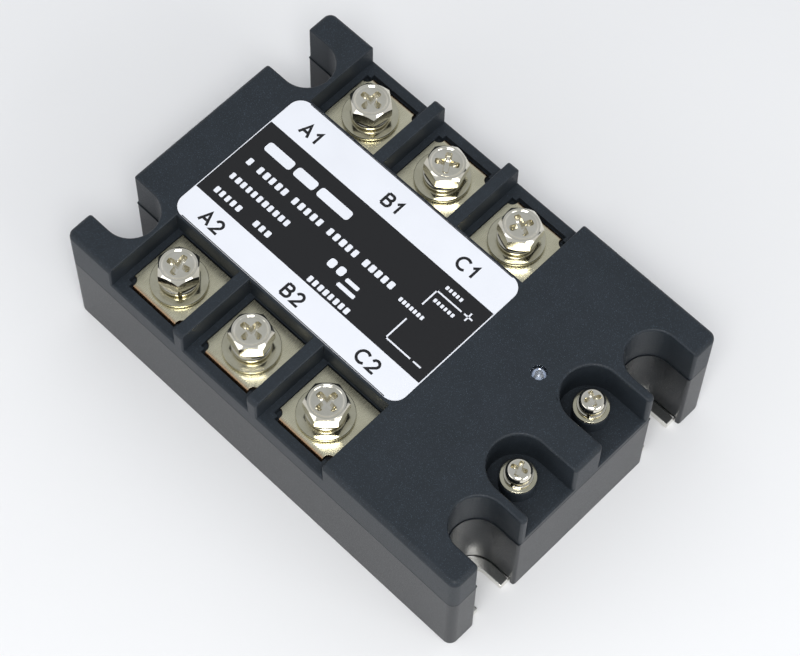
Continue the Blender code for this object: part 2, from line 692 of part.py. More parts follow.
def control_screw_pattern():
    shank, rounding = CONTROL_SHANK_RADIUS, CONTROL_HEAD_ROUNDING
    top = CONTROL_HEAD_BOTTOM + CONTROL_HEAD_HEIGHT
    profile = [
        (shank - CONTROL_SHANK_CHAMFER, CONTROL_TIP),
        (shank, CONTROL_TIP + CONTROL_SHANK_CHAMFER),
        (shank, CONTROL_HEAD_BOTTOM),
        (CONTROL_HEAD_RADIUS, CONTROL_HEAD_BOTTOM),
    ]
    profile += arc(CONTROL_HEAD_RADIUS - rounding, top - rounding, rounding, 0, 90, FILLET_STEPS)
    screw = turned("control_screw", profile)
    cut(screw, screwdriver_cross(CONTROL_CROSS_ARM, CONTROL_CROSS_WIDTH, CONTROL_CROSS_DEPTH, top))
    return screw


def control_post_pattern():
    foot_top = ON_BOARD + POST_FOOT_HEIGHT
    profile = [
        (POST_FOOT_RADIUS, ON_BOARD),
        (POST_FOOT_RADIUS, foot_top),
        (POST_RADIUS, foot_top),
        (POST_RADIUS, CONTROL_BOSS_TOP),
    ]
    post = turned("control_post", profile)
    bore = circle(0, 0, CONTROL_HOLE_RADIUS, SMALL_ROUND_STEPS)
    cut(post, [prism("bore", bore, CONTROL_TIP - SCREW_TIP_ROOM, CONTROL_BOSS_TOP + OVERSHOOT)])
    return post


def make_control_terminals():
    places, hole = CONTROL_PLACES, CONTROL_HOLE_RADIUS
    flat = ring("flat", CONTROL_FLAT_RADIUS, hole, CONTROL_FLAT_BOTTOM, CONTROL_FLAT_THICKNESS)
    spring_bottom, spring_thickness = CONTROL_SPRING_BOTTOM, CONTROL_SPRING_THICKNESS
    spring = split_washer(
        "spring", CONTROL_SPRING_RADIUS, hole, CONTROL_SPRING_SPLIT, spring_bottom, spring_thickness
    )
    brass = principled("post_brass", (0.72, 0.54, 0.26), 0.30, 1.0)
    copies(control_post_pattern(), "control_post", places, brass)
    copies(flat, "control_flat_washer", places, principled("small_flat_zinc", (0.74, 0.74, 0.73), 0.30, 1.0))
    spring_zinc = principled("small_spring_zinc", (0.70, 0.70, 0.70), 0.32, 1.0)
    copies(spring, "control_spring_washer", places, spring_zinc)
    bright_zinc = principled("small_screw_zinc", (0.80, 0.80, 0.80), 0.22, 1.0)
    copies(control_screw_pattern(), "control_screw", places, bright_zinc)


# Status light

def make_status_led():
    flange_top = CEILING - CONTACT_GAP
    flange_bottom = flange_top - LED_FLANGE_THICKNESS
    dome_height = LED_RADIUS * math.sin(math.radians(LED_DOME_ANGLE))
    profile = [(LED_FLANGE_RADIUS, flange_bottom), (LED_FLANGE_RADIUS, flange_top), (LED_RADIUS, flange_top)]
    profile += arc(0, BODY_HEIGHT + LED_PROUD - dome_height, LED_RADIUS, 0, LED_DOME_ANGLE, FILLET_STEPS)
    led = turned("status_led", profile, SMALL_ROUND_STEPS)
    half = LED_LEAD_SIZE / 2
    lead_top = flange_bottom + LED_FLANGE_THICKNESS / 2
    for y in (-LED_LEAD_PITCH / 2, LED_LEAD_PITCH / 2):
        add(led, [box("lead", -half, half, y - half, y + half, ON_BOARD, lead_top)])
    led.location = (LED_X, LED_Y, 0)
    finish(led, principled("led_resin", (0.90, 0.93, 0.96), 0.06, transmission=0.9))


# Inside

def make_control_board():
    end_x, end_y = END_CAVITY_X - BOARD_MARGIN, END_CAVITY_Y - BOARD_MARGIN
    outline = cross_outline(end_x, end_y, WIDE_CAVITY_X - BOARD_MARGIN, BOARD_HALF_WIDTH)
    board = prism("control_board", outline, BOARD_UNDERSIDE, BOARD_TOP)
    finish(board, principled("board_laminate", (0.04, 0.20, 0.08), 0.45))


def centred_block(name, length_x, length_y, bottom, height):
    return box(name, -length_x / 2, length_x / 2, -length_y / 2, length_y / 2, bottom, bottom + height)


def make_power_stage():
    tile = centred_block("tile", SUBSTRATE_WIDTH, SUBSTRATE_LENGTH, SUBSTRATE_BOTTOM, SUBSTRATE_THICKNESS)
    chip = centred_block("chip", THYRISTOR_SIZE, THYRISTOR_SIZE, CHIP_BOTTOM, THYRISTOR_THICKNESS)
    copies(tile, "ceramic_substrate", PHASE_PLACES, principled("alumina", (0.85, 0.85, 0.82), 0.60))
    copies(chip, "thyristor", THYRISTOR_PLACES, principled("silicon", (0.16, 0.17, 0.20), 0.25, 0.6))


def make_optocouplers():
    package = centred_block("package", OPTOCOUPLER_WIDTH, OPTOCOUPLER_LENGTH, ON_BOARD, OPTOCOUPLER_HEIGHT)
    copies(package, "optocoupler", PHASE_PLACES, principled("optocoupler_epoxy", (0.85, 0.85, 0.83), 0.50))


def make_current_limiter():
    """A small three-legged package, round with one flat side."""
    radius = LIMITER_WIDTH / 2
    flat_angle = math.degrees(math.asin(LIMITER_FLAT / radius))
    outline = arc(0, 0, radius, -flat_angle, 180 + flat_angle, 2 * ARC_STEPS)
    bottom = ON_BOARD + LIMITER_STAND_OFF
    limiter = prism("current_limiter", outline, bottom, bottom + LIMITER_HEIGHT)
    half = LIMITER_LEAD_SIZE / 2
    for x in (-LIMITER_LEAD_PITCH, 0, LIMITER_LEAD_PITCH):
        add(limiter, [box("lead", x - half, x + half, -half, half, ON_BOARD, bottom + LIMITER_HEIGHT / 4)])
    limiter.location = (LED_X - LIMITER_TO_LED, 0, 0)
    finish(limiter, principled("limiter_epoxy", (0.02, 0.02, 0.02), 0.60))


def main():
    for obj in list(bpy.data.objects):
        bpy.data.objects.remove(obj)
    make_lower_housing()
    make_baseplate()
    make_top_cover()
    make_label()
    make_power_terminals()
    make_control_terminals()
    make_status_led()
    make_control_board()
    make_power_stage()
    make_optocouplers()
    make_current_limiter()


main()
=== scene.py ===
"""Looks of a three-phase solid state relay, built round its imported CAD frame.

Shapes are modelled in millimetres in the frame's own axes (+Z up, +X to the control end) and scaled to metres
when they are placed. Pieces that repeat take their places from the frame's own nodes.
"""

import math
import random

import bmesh
import bpy
from mathutils import Euler, Matrix, Vector


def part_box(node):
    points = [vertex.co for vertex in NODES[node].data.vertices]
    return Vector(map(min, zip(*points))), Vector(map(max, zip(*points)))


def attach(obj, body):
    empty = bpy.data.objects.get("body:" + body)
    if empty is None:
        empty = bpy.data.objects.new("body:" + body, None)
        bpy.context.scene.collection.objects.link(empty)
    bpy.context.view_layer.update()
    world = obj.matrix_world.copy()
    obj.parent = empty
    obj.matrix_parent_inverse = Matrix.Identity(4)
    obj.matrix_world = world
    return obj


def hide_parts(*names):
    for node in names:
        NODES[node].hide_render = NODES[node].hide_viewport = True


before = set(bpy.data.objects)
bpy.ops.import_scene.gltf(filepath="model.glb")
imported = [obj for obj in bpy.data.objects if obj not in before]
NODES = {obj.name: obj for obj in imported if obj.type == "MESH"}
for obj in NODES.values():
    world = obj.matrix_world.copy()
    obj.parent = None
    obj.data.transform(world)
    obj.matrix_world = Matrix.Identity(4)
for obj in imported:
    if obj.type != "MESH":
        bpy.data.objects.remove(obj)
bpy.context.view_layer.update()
rng = random.Random(7)
MM = 0.001

# Camera: place in metres, turn in degrees, lens in millimetres
CAMERA_PLACE = (0.161056, -0.170229, 0.481160)
CAMERA_TURN = (26.5325, -0.7654, 44.3832)
CAMERA_LENS = 118.575
SENSOR = 36

# Studio: place and size in metres, power in watts
SOFTBOXES = (
    ("key", (0.24, -0.27, 0.66), (0.30, 0.22), 2.7),
    ("side", (0.50, 0.02, 0.30), (0.30, 0.20), 0.6),
    ("front", (-0.16, -0.52, 0.26), (0.40, 0.20), 0.35),
)
LIT_POINT = (0, 0, 0.02)
HORIZON_COLOUR = (0.80, 0.80, 0.82)
ZENITH_COLOUR = (0.48, 0.50, 0.53)
FLOOR_HALF = 1500
FLOOR_Z = (-4, -0.02)

# Body, in millimetres
HALF_LENGTH = 52.5
HALF_WIDTH = 36.35
TOP = 31.0
PARTING = 20.4
PARTING_GAP = 0.06
CORNER = 1.8
WALL = 2.1
CEILING = 29.0
NOTCH_X = 46.9
NOTCH_Y = 24.15
NOTCH_WIDTH = 11.6
HOUSING_NOTCH_WIDTH = 11.1
BAY_LENGTH = 17.5
HALF_SPINE = 18.35
DECK = 25.5
DECK_UNDERSIDE = 22.5
RECESS_WIDTH = 12.7
RECESS_FLOOR = 22.0
BOSS_RADIUS = 3.6
BOSS_TOP = 25.6
LABEL_X = (-42.3, 19.0)
LABEL_Y = 17.85
LABEL_CORNER = 3.0
LABEL_FLOOR = 30.6
LABEL_GAP = 0.12
BASE_HALF_LENGTH = 51.2
BASE_HALF_WIDTH = 35.05
BASE_TOP = 2.0
BASE_SLOT = 6.5
SEAT_WIDTH = 10.6
SEAT_DEPTH = 0.15
SEAT_FLARE = 0.6
BASE_CORNER = 1.0

# Inside the lower housing: the rabbet round the base, and the board's ledges
RABBET_HALF_LENGTH = 51.5
RABBET_HALF_WIDTH = 35.35
RABBET_TOP = 2.3
LEDGE_X = (48.4, 51.0)
LEDGE_HALF_WIDTH = 6.0
LEDGE_Z = (2.6, 9.7)

# Under the decks: the nuts' bosses, and the room for nuts, screw tips and control posts
NUT_BOSS_HALF_X = 6.1
NUT_BOSS_HALF_Y = 5.5
NUT_BOSS_Z = (16.0, 23.5)
NUT_POCKET_FLATS = 8.6
NUT_POCKET_FLOOR = 20.0
TIP_HOLE_RADIUS = 2.7
TIP_HOLE_FLOOR = 17.2
POST_BORE_RADIUS = 2.6

# Edge roundings
TOP_ROUND = 1.2
TIP_ROUND = 0.9
END_ROUND = 0.7
RIM_ROUND = 0.5
BAY_ROUND = 0.35
DECK_ROUND = 0.6
FLOOR_ROUND = 0.3
BOSS_ROUND = 0.25
LED_HOLE_ROUND = 0.15
PARTING_ROUND = 0.11
BASE_ROUND = 0.18
STRIP_ROUND = 0.1
LABEL_ROUND = 0.04
ROUND_STEPS = 4
ROUNDED_FROM_DEGREES = 50
SAME = 0.06
MERGE = 0.002

# Terminal strips
STRIP_HALF = 7.2
STRIP_TOP = 25.4
STRIP_THICK = 1.0
STRIP_OUTER = 33.85
STRIP_INNER = 18.8
STRIP_BEND = 1.6
STRIP_FOOT = 23.05
STRIP_BOTTOM = 3.6
STRIP_HOLE_RADIUS = 2.7
LEG_HALF = 5.85
RELIEF = 2.3
RELIEF_RADIUS = STRIP_HALF - LEG_HALF

# Pockets in the decks that the strips lie in
POCKET_GAP = 0.14
POCKET_BACK_GAP = 0.3
POCKET_FLOOR = 24.1
LEG_SLOT_Z = (21, 24.2)
LEG_SLOT_STEP = 0.35

# Power screws
POWER_PITCH = 0.8
SHANK_RADIUS = 2.35
THREAD_DEPTH = 0.42
TIP_CHAMFER = 0.5
NECK_RADIUS = 2.30
NECK_LENGTH = 0.25
HEAD_HEIGHT = 3.5
HEAD_RISE = 0.3
HEAD_FLATS = 8.0
HEAD_CORNER_RADIUS = 4.60
HEAD_FACE_RADIUS = 3.75
UNDER_HEAD_SLOPE = 0.65
TOP_CHAMFER_RADIUS = 3.80
TOP_CHAMFER_SLOPE = 0.85
CHAMFER_DROP = 0.14
DISH = 0.28
CROSS = {"arm": 2.50, "width": 1.35, "depth": 1.5}

# Control screws
CONTROL_PITCH = 0.5
SMALL_SHANK_RADIUS = 1.35
SMALL_THREAD_DEPTH = 0.26
SMALL_TIP_CHAMFER = 0.35
SMALL_NECK_RADIUS = 1.32
SMALL_NECK_LENGTH = 0.2
SMALL_HEAD_HEIGHT = 2.0
SMALL_HEAD_RADIUS = 2.60
SMALL_HEAD_UNDER_RADIUS = 2.45
SMALL_DOME = 1.05
SMALL_FACE_DROP = 0.05
SMALL_CROSS = {"arm": 1.70, "width": 0.95, "depth": 1.1}

# Washers
WASHER_HOLE = 2.7
FLAT_RADIUS = 5.8
FLAT_EDGE = 0.16
SPRING_HOLE = 2.55
SPRING_RADIUS = 4.0
SPRING_EDGE = 0.18
SPRING_SPLIT = 0.8
SPRING_LIFT = 0.22
SMALL_WASHER_HOLE = 1.7
SMALL_FLAT_RADIUS = 3.6
SMALL_FLAT_EDGE = 0.14
SMALL_SPRING_RADIUS = 2.9
SMALL_SPRING_EDGE = 0.12
SMALL_SPRING_SPLIT = 0.6
SMALL_SPRING_LIFT = 0.20

# Status light
LED = (33.4, 6.5)
LED_RADIUS = 1.5
LED_HOLE_RADIUS = 1.6
LED_FLANGE_RADIUS = 1.9
LED_FLANGE_Z = (27.8, 28.7)
LED_DOME_Z = 29.65
LED_CUP = [(0.45, 28.1), (1.0, 28.1), (1.25, 29.3), (1.1, 29.3)]
LED_LEG_Y = 1.0
LED_LEG_HALF = 0.25
LED_LEG_Z = (11.9, 28.3)
LED_STEPS = 32


# Places, read from the frame

def centre_of(node):
    low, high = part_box(node)
    return (low.x + high.x) / 2 / MM, (low.y + high.y) / 2 / MM


def low_of(node):
    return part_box(node)[0].z / MM


def high_of(node):
    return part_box(node)[1].z / MM


POWER = {key: centre_of("power_screw_" + key) for key in ("a1", "b1", "c1", "a2", "b2", "c2")}
CONTROL = {key: centre_of("control_screw_" + key) for key in ("plus", "minus")}
BAYS = [POWER[key][0] for key in ("a1", "b1", "c1")]
SCREW_Y = POWER["a1"][1]
SCREW_TIP = low_of("power_screw_a1")
HEAD_TOP = high_of("power_screw_a1") + HEAD_RISE
HEAD_BOTTOM = HEAD_TOP - HEAD_HEIGHT
CONTROL_TIP = low_of("control_screw_plus")
CONTROL_HEAD_TOP = high_of("control_screw_plus")
CONTROL_HEAD_BOTTOM = CONTROL_HEAD_TOP - SMALL_HEAD_HEIGHT

# How the fasteners were left, in degrees: the power screws loose, leaning by an angle towards an azimuth
LEAN_FROM = 22.2
LEANS = {
    "a1": (2.2, 116), "b1": (5.0, 58), "c1": (5.0, 75),
    "a2": (4.6, 122), "b2": (4.8, 130), "c2": (1.5, 65),
}
HEX_TURNS = {"a1": 22, "b1": 45, "c1": 38, "a2": 15, "b2": 45, "c2": 44}
CROSS_TURNS = {"a1": 2, "b1": 33, "c1": 65, "a2": 15, "b2": 3, "c2": -3}
SPLIT_TURNS = {"a1": 150, "b1": 200, "c1": 190, "a2": -40, "b2": 60, "c2": 80}
FLAT_TURNS = {key: 7 * i for i, key in enumerate(POWER)}
SMALL_TURNS = {"plus": 60, "minus": 20}
SMALL_SPLITS = {"plus": -62, "minus": -75}
SMALL_FLAT_TURNS = {"plus": 0, "minus": 11}


# Outlines: lists of (u, v) points, anticlockwise

def arc(cu, cv, radius, start, end, steps):
    turns = [math.radians(start + (end - start) * i / steps) for i in range(steps + 1)]
    return [(cu + radius * math.cos(t), cv + radius * math.sin(t)) for t in turns]


def circle(cu, cv, radius, steps=48):
    return arc(cu, cv, radius, 0, 360, steps)[:-1]


def rectangle(u0, u1, v0, v1):
    return [(u0, v0), (u1, v0), (u1, v1), (u0, v1)]


def rounded(u0, u1, v0, v1, radius, steps=8):
    points = arc(u1 - radius, v0 + radius, radius, -90, 0, steps)
    points += arc(u1 - radius, v1 - radius, radius, 0, 90, steps)
    points += arc(u0 + radius, v1 - radius, radius, 90, 180, steps)
    return points + arc(u0 + radius, v0 + radius, radius, 180, 270, steps)


def end_slot(side_x, arc_x, centre_y, width, steps=24):
    """A slot with a round inner end, open past the end of the body."""
    points = arc(arc_x, centre_y, width / 2, 90, 270, steps)
    points += [(HALF_LENGTH + 2, centre_y - width / 2), (HALF_LENGTH + 2, centre_y + width / 2)]
    return points if side_x > 0 else [(-u, v) for u, v in reversed(points)]


def notch_outlines(width):
    return [end_slot(sx, NOTCH_X, sy * NOTCH_Y, width) for sx in (-1, 1) for sy in (-1, 1)]


def cross(long_x, long_y, wide_x, wide_y):
    quarter = [(long_x, long_y), (wide_x, long_y), (wide_x, wide_y)]
    half = quarter + [(-u, v) for u, v in reversed(quarter)]
    return half + [(-u, -v) for u, v in half]


def hexagon(across_flats, steps=60, limit=math.inf):
    sixth = math.pi / 3
    turns = [2 * math.pi * i / steps for i in range(steps)]
    radii = [min(limit, across_flats / 2 / math.cos(t % sixth - sixth / 2)) for t in turns]
    return [(r * math.cos(t), r * math.sin(t)) for t, r in zip(turns, radii)]


# Solids, in millimetres

def solid(name, points, faces):
    mesh = bpy.data.meshes.new(name)
    mesh.from_pydata(points, [], faces)
    mesh.update()
    obj = bpy.data.objects.new(name, mesh)
    bpy.context.scene.collection.objects.link(obj)
    return obj


def lofted(name, rings):
    """A closed solid through rings of equally many points, each anticlockwise from above, bottom first."""
    count = len(rings[0])
    faces = [list(reversed(range(count)))]
    for low in range(0, (len(rings) - 1) * count, count):
        for i in range(count):
            j = (i + 1) % count
            faces.append([low + i, low + j, low + count + j, low + count + i])
    faces.append([(len(rings) - 1) * count + i for i in range(count)])
    return solid(name, [point for ring in rings for point in ring], faces)


def stacked(name, levels):
    return lofted(name, [[(u, v, z) for u, v in outline] for outline, z in levels])


def prism(name, outline, bottom, top):
    return stacked(name, [(outline, bottom), (outline, top)])


def box(name, x0, x1, y0, y1, z0, z1):
    return prism(name, rectangle(x0, x1, y0, y1), z0, z1)


def swept_ring(name, section, steps, start=0.0, end=360.0, lift=0.0):
    """A section of (radius, height) points turned about Z. A turn under 360 degrees is closed at its ends."""
    whole = end - start >= 360
    count = steps if whole else steps + 1
    size = len(section)
    points, faces = [], []
    for step in range(count):
        turn = math.radians(start + (end - start) * step / steps)
        rise = lift * (step / steps - 0.5)
        points += [(r * math.cos(turn), r * math.sin(turn), z + rise) for r, z in section]
    for step in range(steps):
        here, there = step * size, (step + 1) % count * size
        for i in range(size):
            j = (i + 1) % size
            faces.append([here + i, there + i, there + j, here + j])
    if not whole:
        faces.append(list(range(size)))
        faces.append([(count - 1) * size + i for i in reversed(range(size))])
    return solid(name, points, faces)


def discard(obj):
    mesh = obj.data
    bpy.data.objects.remove(obj)
    bpy.data.meshes.remove(mesh)


def joined(name, parts):
    """The meshes of several objects as one, which keeps their material numbers."""
    whole = bmesh.new()
    for part in parts:
        part.data.transform(part.matrix_basis)
        whole.from_mesh(part.data)
        discard(part)
    mesh = bpy.data.meshes.new(name)
    whole.to_mesh(mesh)
    whole.free()
    obj = bpy.data.objects.new(name, mesh)
    bpy.context.scene.collection.objects.link(obj)
    return obj


def applied(obj):
    """Turns the object's modifiers into its mesh."""
    bpy.context.view_layer.update()
    evaluated = obj.evaluated_get(bpy.context.evaluated_depsgraph_get())
    mesh = bpy.data.meshes.new_from_object(evaluated)
    obj.modifiers.clear()
    old, obj.data = obj.data, mesh
    bpy.data.meshes.remove(old)
    mesh.name = obj.name
    return obj


def combine(target, tools, operation):
    tool = joined("tool", list(tools))
    modifier = target.modifiers.new("combine", "BOOLEAN")
    modifier.operation = operation
    modifier.solver = "EXACT"
    modifier.object = tool
    applied(target)
    discard(tool)


def cut(target, tools):
    combine(target, tools, "DIFFERENCE")


def add(target, tools):
    combine(target, tools, "UNION")


def round_edges(obj, rule, widest, steps=ROUND_STEPS):
    """Rounds each convex edge by what rule(low point, high point) gives, in millimetres."""
    mesh = bmesh.new()
    mesh.from_mesh(obj.data)
    bmesh.ops.remove_doubles(mesh, verts=mesh.verts, dist=MERGE)
    bmesh.ops.dissolve_degenerate(mesh, edges=mesh.edges, dist=MERGE)
    layer = mesh.edges.layers.float.new("bevel_weight_edge")
    for edge in mesh.edges:
        bent = edge.calc_face_angle(0) > math.radians(ROUNDED_FROM_DEGREES)
        if len(edge.link_faces) == 2 and edge.is_convex and bent:
            a, b = sorted((v.co for v in edge.verts), key=lambda p: tuple(p))
            edge[layer] = min(1.0, rule(a, b) / widest)
    mesh.to_mesh(obj.data)
    mesh.free()
    modifier = obj.modifiers.new("round", "BEVEL")
    modifier.limit_method = "WEIGHT"
    modifier.width = widest
    modifier.segments = steps
    modifier.use_clamp_overlap = False
    return applied(obj)


def turned_mesh(obj, degrees):
    obj.data.transform(Matrix.Rotation(math.radians(degrees), 4, "Z"))
    return obj


def moved(obj, x, y):
    obj.data.transform(Matrix.Translation((x, y, 0)))
    return obj


# Materials

def nodes_of(name):
    made = bpy.data.materials.new(name)
    made.use_nodes = True
    tree = made.node_tree
    return made, tree, tree.nodes["Principled BSDF"]


def node(tree, kind, **values):
    """A node with its inputs set, or linked where a socket is given.

    A name with a leading _ is a property, and i3 is input number 3.
    """
    made = tree.nodes.new(kind)
    for key, value in values.items():
        if key.startswith("_"):
            setattr(made, key[1:], value)
            continue
        socket = made.inputs[int(key[1:])] if key[0] == "i" and key[1:].isdigit() else made.inputs[key]
        put(tree, socket, value)
    return made


def put(tree, socket, value):
    if isinstance(value, bpy.types.NodeSocket):
        tree.links.new(value, socket)
    else:
        socket.default_value = value


def place_socket(tree, stretch=(1, 1, 1)):
    coordinates = tree.nodes.new("ShaderNodeTexCoord")
    mapping = node(tree, "ShaderNodeMapping", Vector=coordinates.outputs["Object"], Scale=stretch)
    return mapping.outputs["Vector"]


def noise(tree, place, grain, detail=2.0, roughness=0.5):
    """Noise whose lumps are about grain millimetres across."""
    scale = 1 / (grain * MM)
    made = node(tree, "ShaderNodeTexNoise", Vector=place, Scale=scale, Detail=detail, Roughness=roughness)
    return made.outputs["Fac"]


def ramp(tree, fac, low, high, to_low=0.0, to_high=1.0):
    made = node(tree, "ShaderNodeMapRange", i0=fac, i1=low, i2=high, i3=to_low, i4=to_high)
    return made.outputs[0]


def maths(tree, operation, a, b):
    return node(tree, "ShaderNodeMath", _operation=operation, i0=a, i1=b).outputs[0]


def mix_colour(tree, fac, a, b):
    made = node(tree, "ShaderNodeMix", _data_type="RGBA", Factor=fac)
    put(tree, made.inputs[6], a if not isinstance(a, tuple) else (*a, 1))
    put(tree, made.inputs[7], b if not isinstance(b, tuple) else (*b, 1))
    return made.outputs[2]


def bump(tree, shader, height, depth):
    """Bump whose full height is depth millimetres."""
    made = node(tree, "ShaderNodeBump", Height=height, Distance=depth * MM, Strength=1.0)
    tree.links.new(made.outputs["Normal"], shader.inputs["Normal"])


# Size and share of the cells that carry the plastics' painted glints
GLINT_CELL = 0.14
GLINT_SHARE = 0.30
PLASTIC_SPECULAR = 0.27


def moulded(name, dark, light, painted_glint, roughness, grain, depth):
    """Moulded plastic with a spark-eroded grain, and painted glints: fine bright specks in the colour, brighter
    on upper faces as painted light from above.
    """
    made, tree, shader = nodes_of(name)
    place = place_socket(tree)
    cloud = noise(tree, place, 6.0, 3.0)
    colour = mix_colour(tree, ramp(tree, cloud, 0.35, 0.65), dark, light)
    # Painted glints: sparse bright specks put into the base colour, strongest on upper faces, where the light
    # falls from above
    cells = node(tree, "ShaderNodeTexVoronoi", Vector=place, Scale=1 / (GLINT_CELL * MM))
    glint_spot = ramp(tree, cells.outputs["Distance"], 0.20, 0.50, 1.0, 0.0)
    split = node(tree, "ShaderNodeSeparateColor", Color=cells.outputs["Color"])
    chosen = ramp(tree, split.outputs[0], 1 - GLINT_SHARE, 1.0)
    facing = node(tree, "ShaderNodeNewGeometry")
    upright = node(tree, "ShaderNodeSeparateXYZ", Vector=facing.outputs["Normal"])
    lit_from_above = ramp(tree, upright.outputs["Z"], 0.1, 0.8, 0.25, 1.0)
    glint_amount = maths(tree, "MULTIPLY", maths(tree, "MULTIPLY", glint_spot, chosen), lit_from_above)
    put(tree, shader.inputs["Base Color"], mix_colour(tree, glint_amount, colour, painted_glint))
    fine = noise(tree, place, grain, 2.0, 0.6)
    rough = ramp(tree, fine, 0.3, 0.7, roughness - 0.06, roughness + 0.06)
    put(tree, shader.inputs["Roughness"], rough)
    shader.inputs["Specular IOR Level"].default_value = PLASTIC_SPECULAR
    bump(tree, shader, fine, depth)
    return made


def plated(name, colour, tint, roughness, grain=(1, 1, 1), depth=0.004, grain_size=0.35):
    """Plated metal: a bright face with a faint tint in patches, and fine marks along the grain."""
    made, tree, shader = nodes_of(name)
    place = place_socket(tree)
    patches = noise(tree, place, 3.0, 3.0)
    put(tree, shader.inputs["Base Color"], mix_colour(tree, ramp(tree, patches, 0.3, 0.7), colour, tint))
    marks = noise(tree, place_socket(tree, grain), grain_size, 3.0, 0.6)
    put(tree, shader.inputs["Roughness"], ramp(tree, marks, 0.3, 0.7, roughness * 0.75, roughness * 1.25))
    shader.inputs["Metallic"].default_value = 1.0
    bump(tree, shader, marks, depth)
    return made


def plain(name, dark, light, roughness, grain, depth, metallic=0.0, patch=2.0):
    """A matt material with patches of two tones and a fine grain."""
    made, tree, shader = nodes_of(name)
    place = place_socket(tree)
    put(tree, shader.inputs["Base Color"], mix_colour(tree, noise(tree, place, patch, 3.0), dark, light))
    fine = noise(tree, place, grain, 2.0)
    put(tree, shader.inputs["Roughness"], ramp(tree, fine, 0.3, 0.7, roughness * 0.85, roughness * 1.15))
    shader.inputs["Metallic"].default_value = metallic
    bump(tree, shader, fine, depth)
    return made


def strip_metal():
    """Plated strip: satin along its length, with a brown painted reflection where it bends over."""
    made, tree, shader = nodes_of("strip_metal")
    place = place_socket(tree, (6, 1, 1))
    marks = noise(tree, place, 1.2, 3.0, 0.6)
    cloud = noise(tree, place_socket(tree), 4.0, 3.0)
    flat = mix_colour(tree, ramp(tree, cloud, 0.3, 0.7), (0.66, 0.62, 0.45), (0.78, 0.74, 0.55))
    facing = node(tree, "ShaderNodeNewGeometry")
    upright = node(tree, "ShaderNodeSeparateXYZ", Vector=facing.outputs["Normal"])
    # Painted reflection: faces turning away from upright, round the bend, are coloured brown
    bent = ramp(tree, upright.outputs["Z"], 0.80, 0.998, 1.0, 0.0)
    put(tree, shader.inputs["Base Color"], mix_colour(tree, bent, flat, (0.34, 0.20, 0.11)))
    put(tree, shader.inputs["Roughness"], ramp(tree, marks, 0.3, 0.7, 0.22, 0.34))
    shader.inputs["Metallic"].default_value = 1.0
    bump(tree, shader, marks, 0.002)
    return made


def resin():
    """Water-clear epoxy."""
    made, tree, shader = nodes_of("led_resin")
    place = place_socket(tree)
    put(tree, shader.inputs["Roughness"], ramp(tree, noise(tree, place, 0.6), 0.3, 0.7, 0.03, 0.09))
    tone = mix_colour(tree, noise(tree, place, 1.0), (0.82, 0.90, 1.0), (0.95, 0.98, 1.0))
    put(tree, shader.inputs["Base Color"], tone)
    shader.inputs["Transmission Weight"].default_value = 0.85
    shader.inputs["IOR"].default_value = 1.5
    return made


def ink(name, colour, roughness):
    """A printed coat, with the faint unevenness of screen ink."""
    made, tree, shader = nodes_of(name)
    place = place_socket(tree)
    cloud = noise(tree, place, 8.0, 2.0)
    darker = tuple(c * 0.93 for c in colour)
    put(tree, shader.inputs["Base Color"], mix_colour(tree, cloud, darker, colour))
    fine = noise(tree, place, 0.5, 2.0)
    put(tree, shader.inputs["Roughness"], ramp(tree, fine, 0.3, 0.7, roughness - 0.04, roughness + 0.04))
    bump(tree, shader, fine, 0.003)
    return made


# Placing

def surface(obj, *materials, smooth=30):
    obj.data.materials.clear()
    for material in materials:
        obj.data.materials.append(material)
    obj.data.shade_smooth()
    obj.data.set_sharp_from_angle(angle=math.radians(smooth))
    return obj


def settled(obj, body, slot, *replaced, even=True):
    """Scales a finished piece to metres, puts it on its body, and hides the frame's nodes that it replaces."""
    obj.data.transform(Matrix.Scale(MM, 4))
    if even:
        modifier = obj.modifiers.new("even_normals", "WEIGHTED_NORMAL")
        modifier.keep_sharp = True
    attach(obj, body)
    if replaced:
        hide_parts(*replaced)
    return obj


def near(value, target):
    return abs(value - target) < SAME


# Camera, light and floor

def make_camera():
    data = bpy.data.cameras.new("camera")
    data.sensor_width = SENSOR
    data.lens = CAMERA_LENS
    data.clip_start = 0.01
    camera = bpy.data.objects.new("camera", data)
    camera.location = CAMERA_PLACE
    camera.rotation_euler = Euler([math.radians(a) for a in CAMERA_TURN], "XYZ")
    bpy.context.scene.collection.objects.link(camera)
    bpy.context.scene.camera = camera


def softbox(name, place, size, power):
    data = bpy.data.lights.new(name, "AREA")
    data.shape = "RECTANGLE"
    data.size, data.size_y = size
    data.energy = power
    light = bpy.data.objects.new(name, data)
    light.location = place
    light.rotation_euler = (Vector(LIT_POINT) - Vector(place)).to_track_quat("-Z", "Y").to_euler()
    bpy.context.scene.collection.objects.link(light)


def make_studio():
    world = bpy.data.worlds.new("studio")
    bpy.context.scene.world = world
    world.use_nodes = True
    tree = world.node_tree
    coordinates = tree.nodes.new("ShaderNodeTexCoord")
    split = node(tree, "ShaderNodeSeparateXYZ", Vector=coordinates.outputs["Generated"])
    height = ramp(tree, split.outputs["Z"], -0.1, 0.9, 0.0, 1.0)
    background = tree.nodes["Background"]
    put(tree, background.inputs["Color"], mix_colour(tree, height, HORIZON_COLOUR, ZENITH_COLOUR))
    background.inputs["Strength"].default_value = 1.0
    for settings in SOFTBOXES:
        softbox(*settings)
    floor = box("floor", -FLOOR_HALF, FLOOR_HALF, -FLOOR_HALF, FLOOR_HALF, *FLOOR_Z)
    floor.data.transform(Matrix.Scale(MM, 4))
    surface(floor, plain("floor_paper", (0.84, 0.84, 0.84), (0.86, 0.86, 0.86), 0.85, 2.0, 0.01, patch=60.0))


# Shells

def body_prism(name, inset, bottom, top):
    half_x, half_y = HALF_LENGTH - inset, HALF_WIDTH - inset
    return prism(name, rounded(-half_x, half_x, -half_y, half_y, CORNER - inset), bottom, top)


def notch_prisms(width, bottom, top):
    return [prism("notch", outline, bottom, top) for outline in notch_outlines(width)]


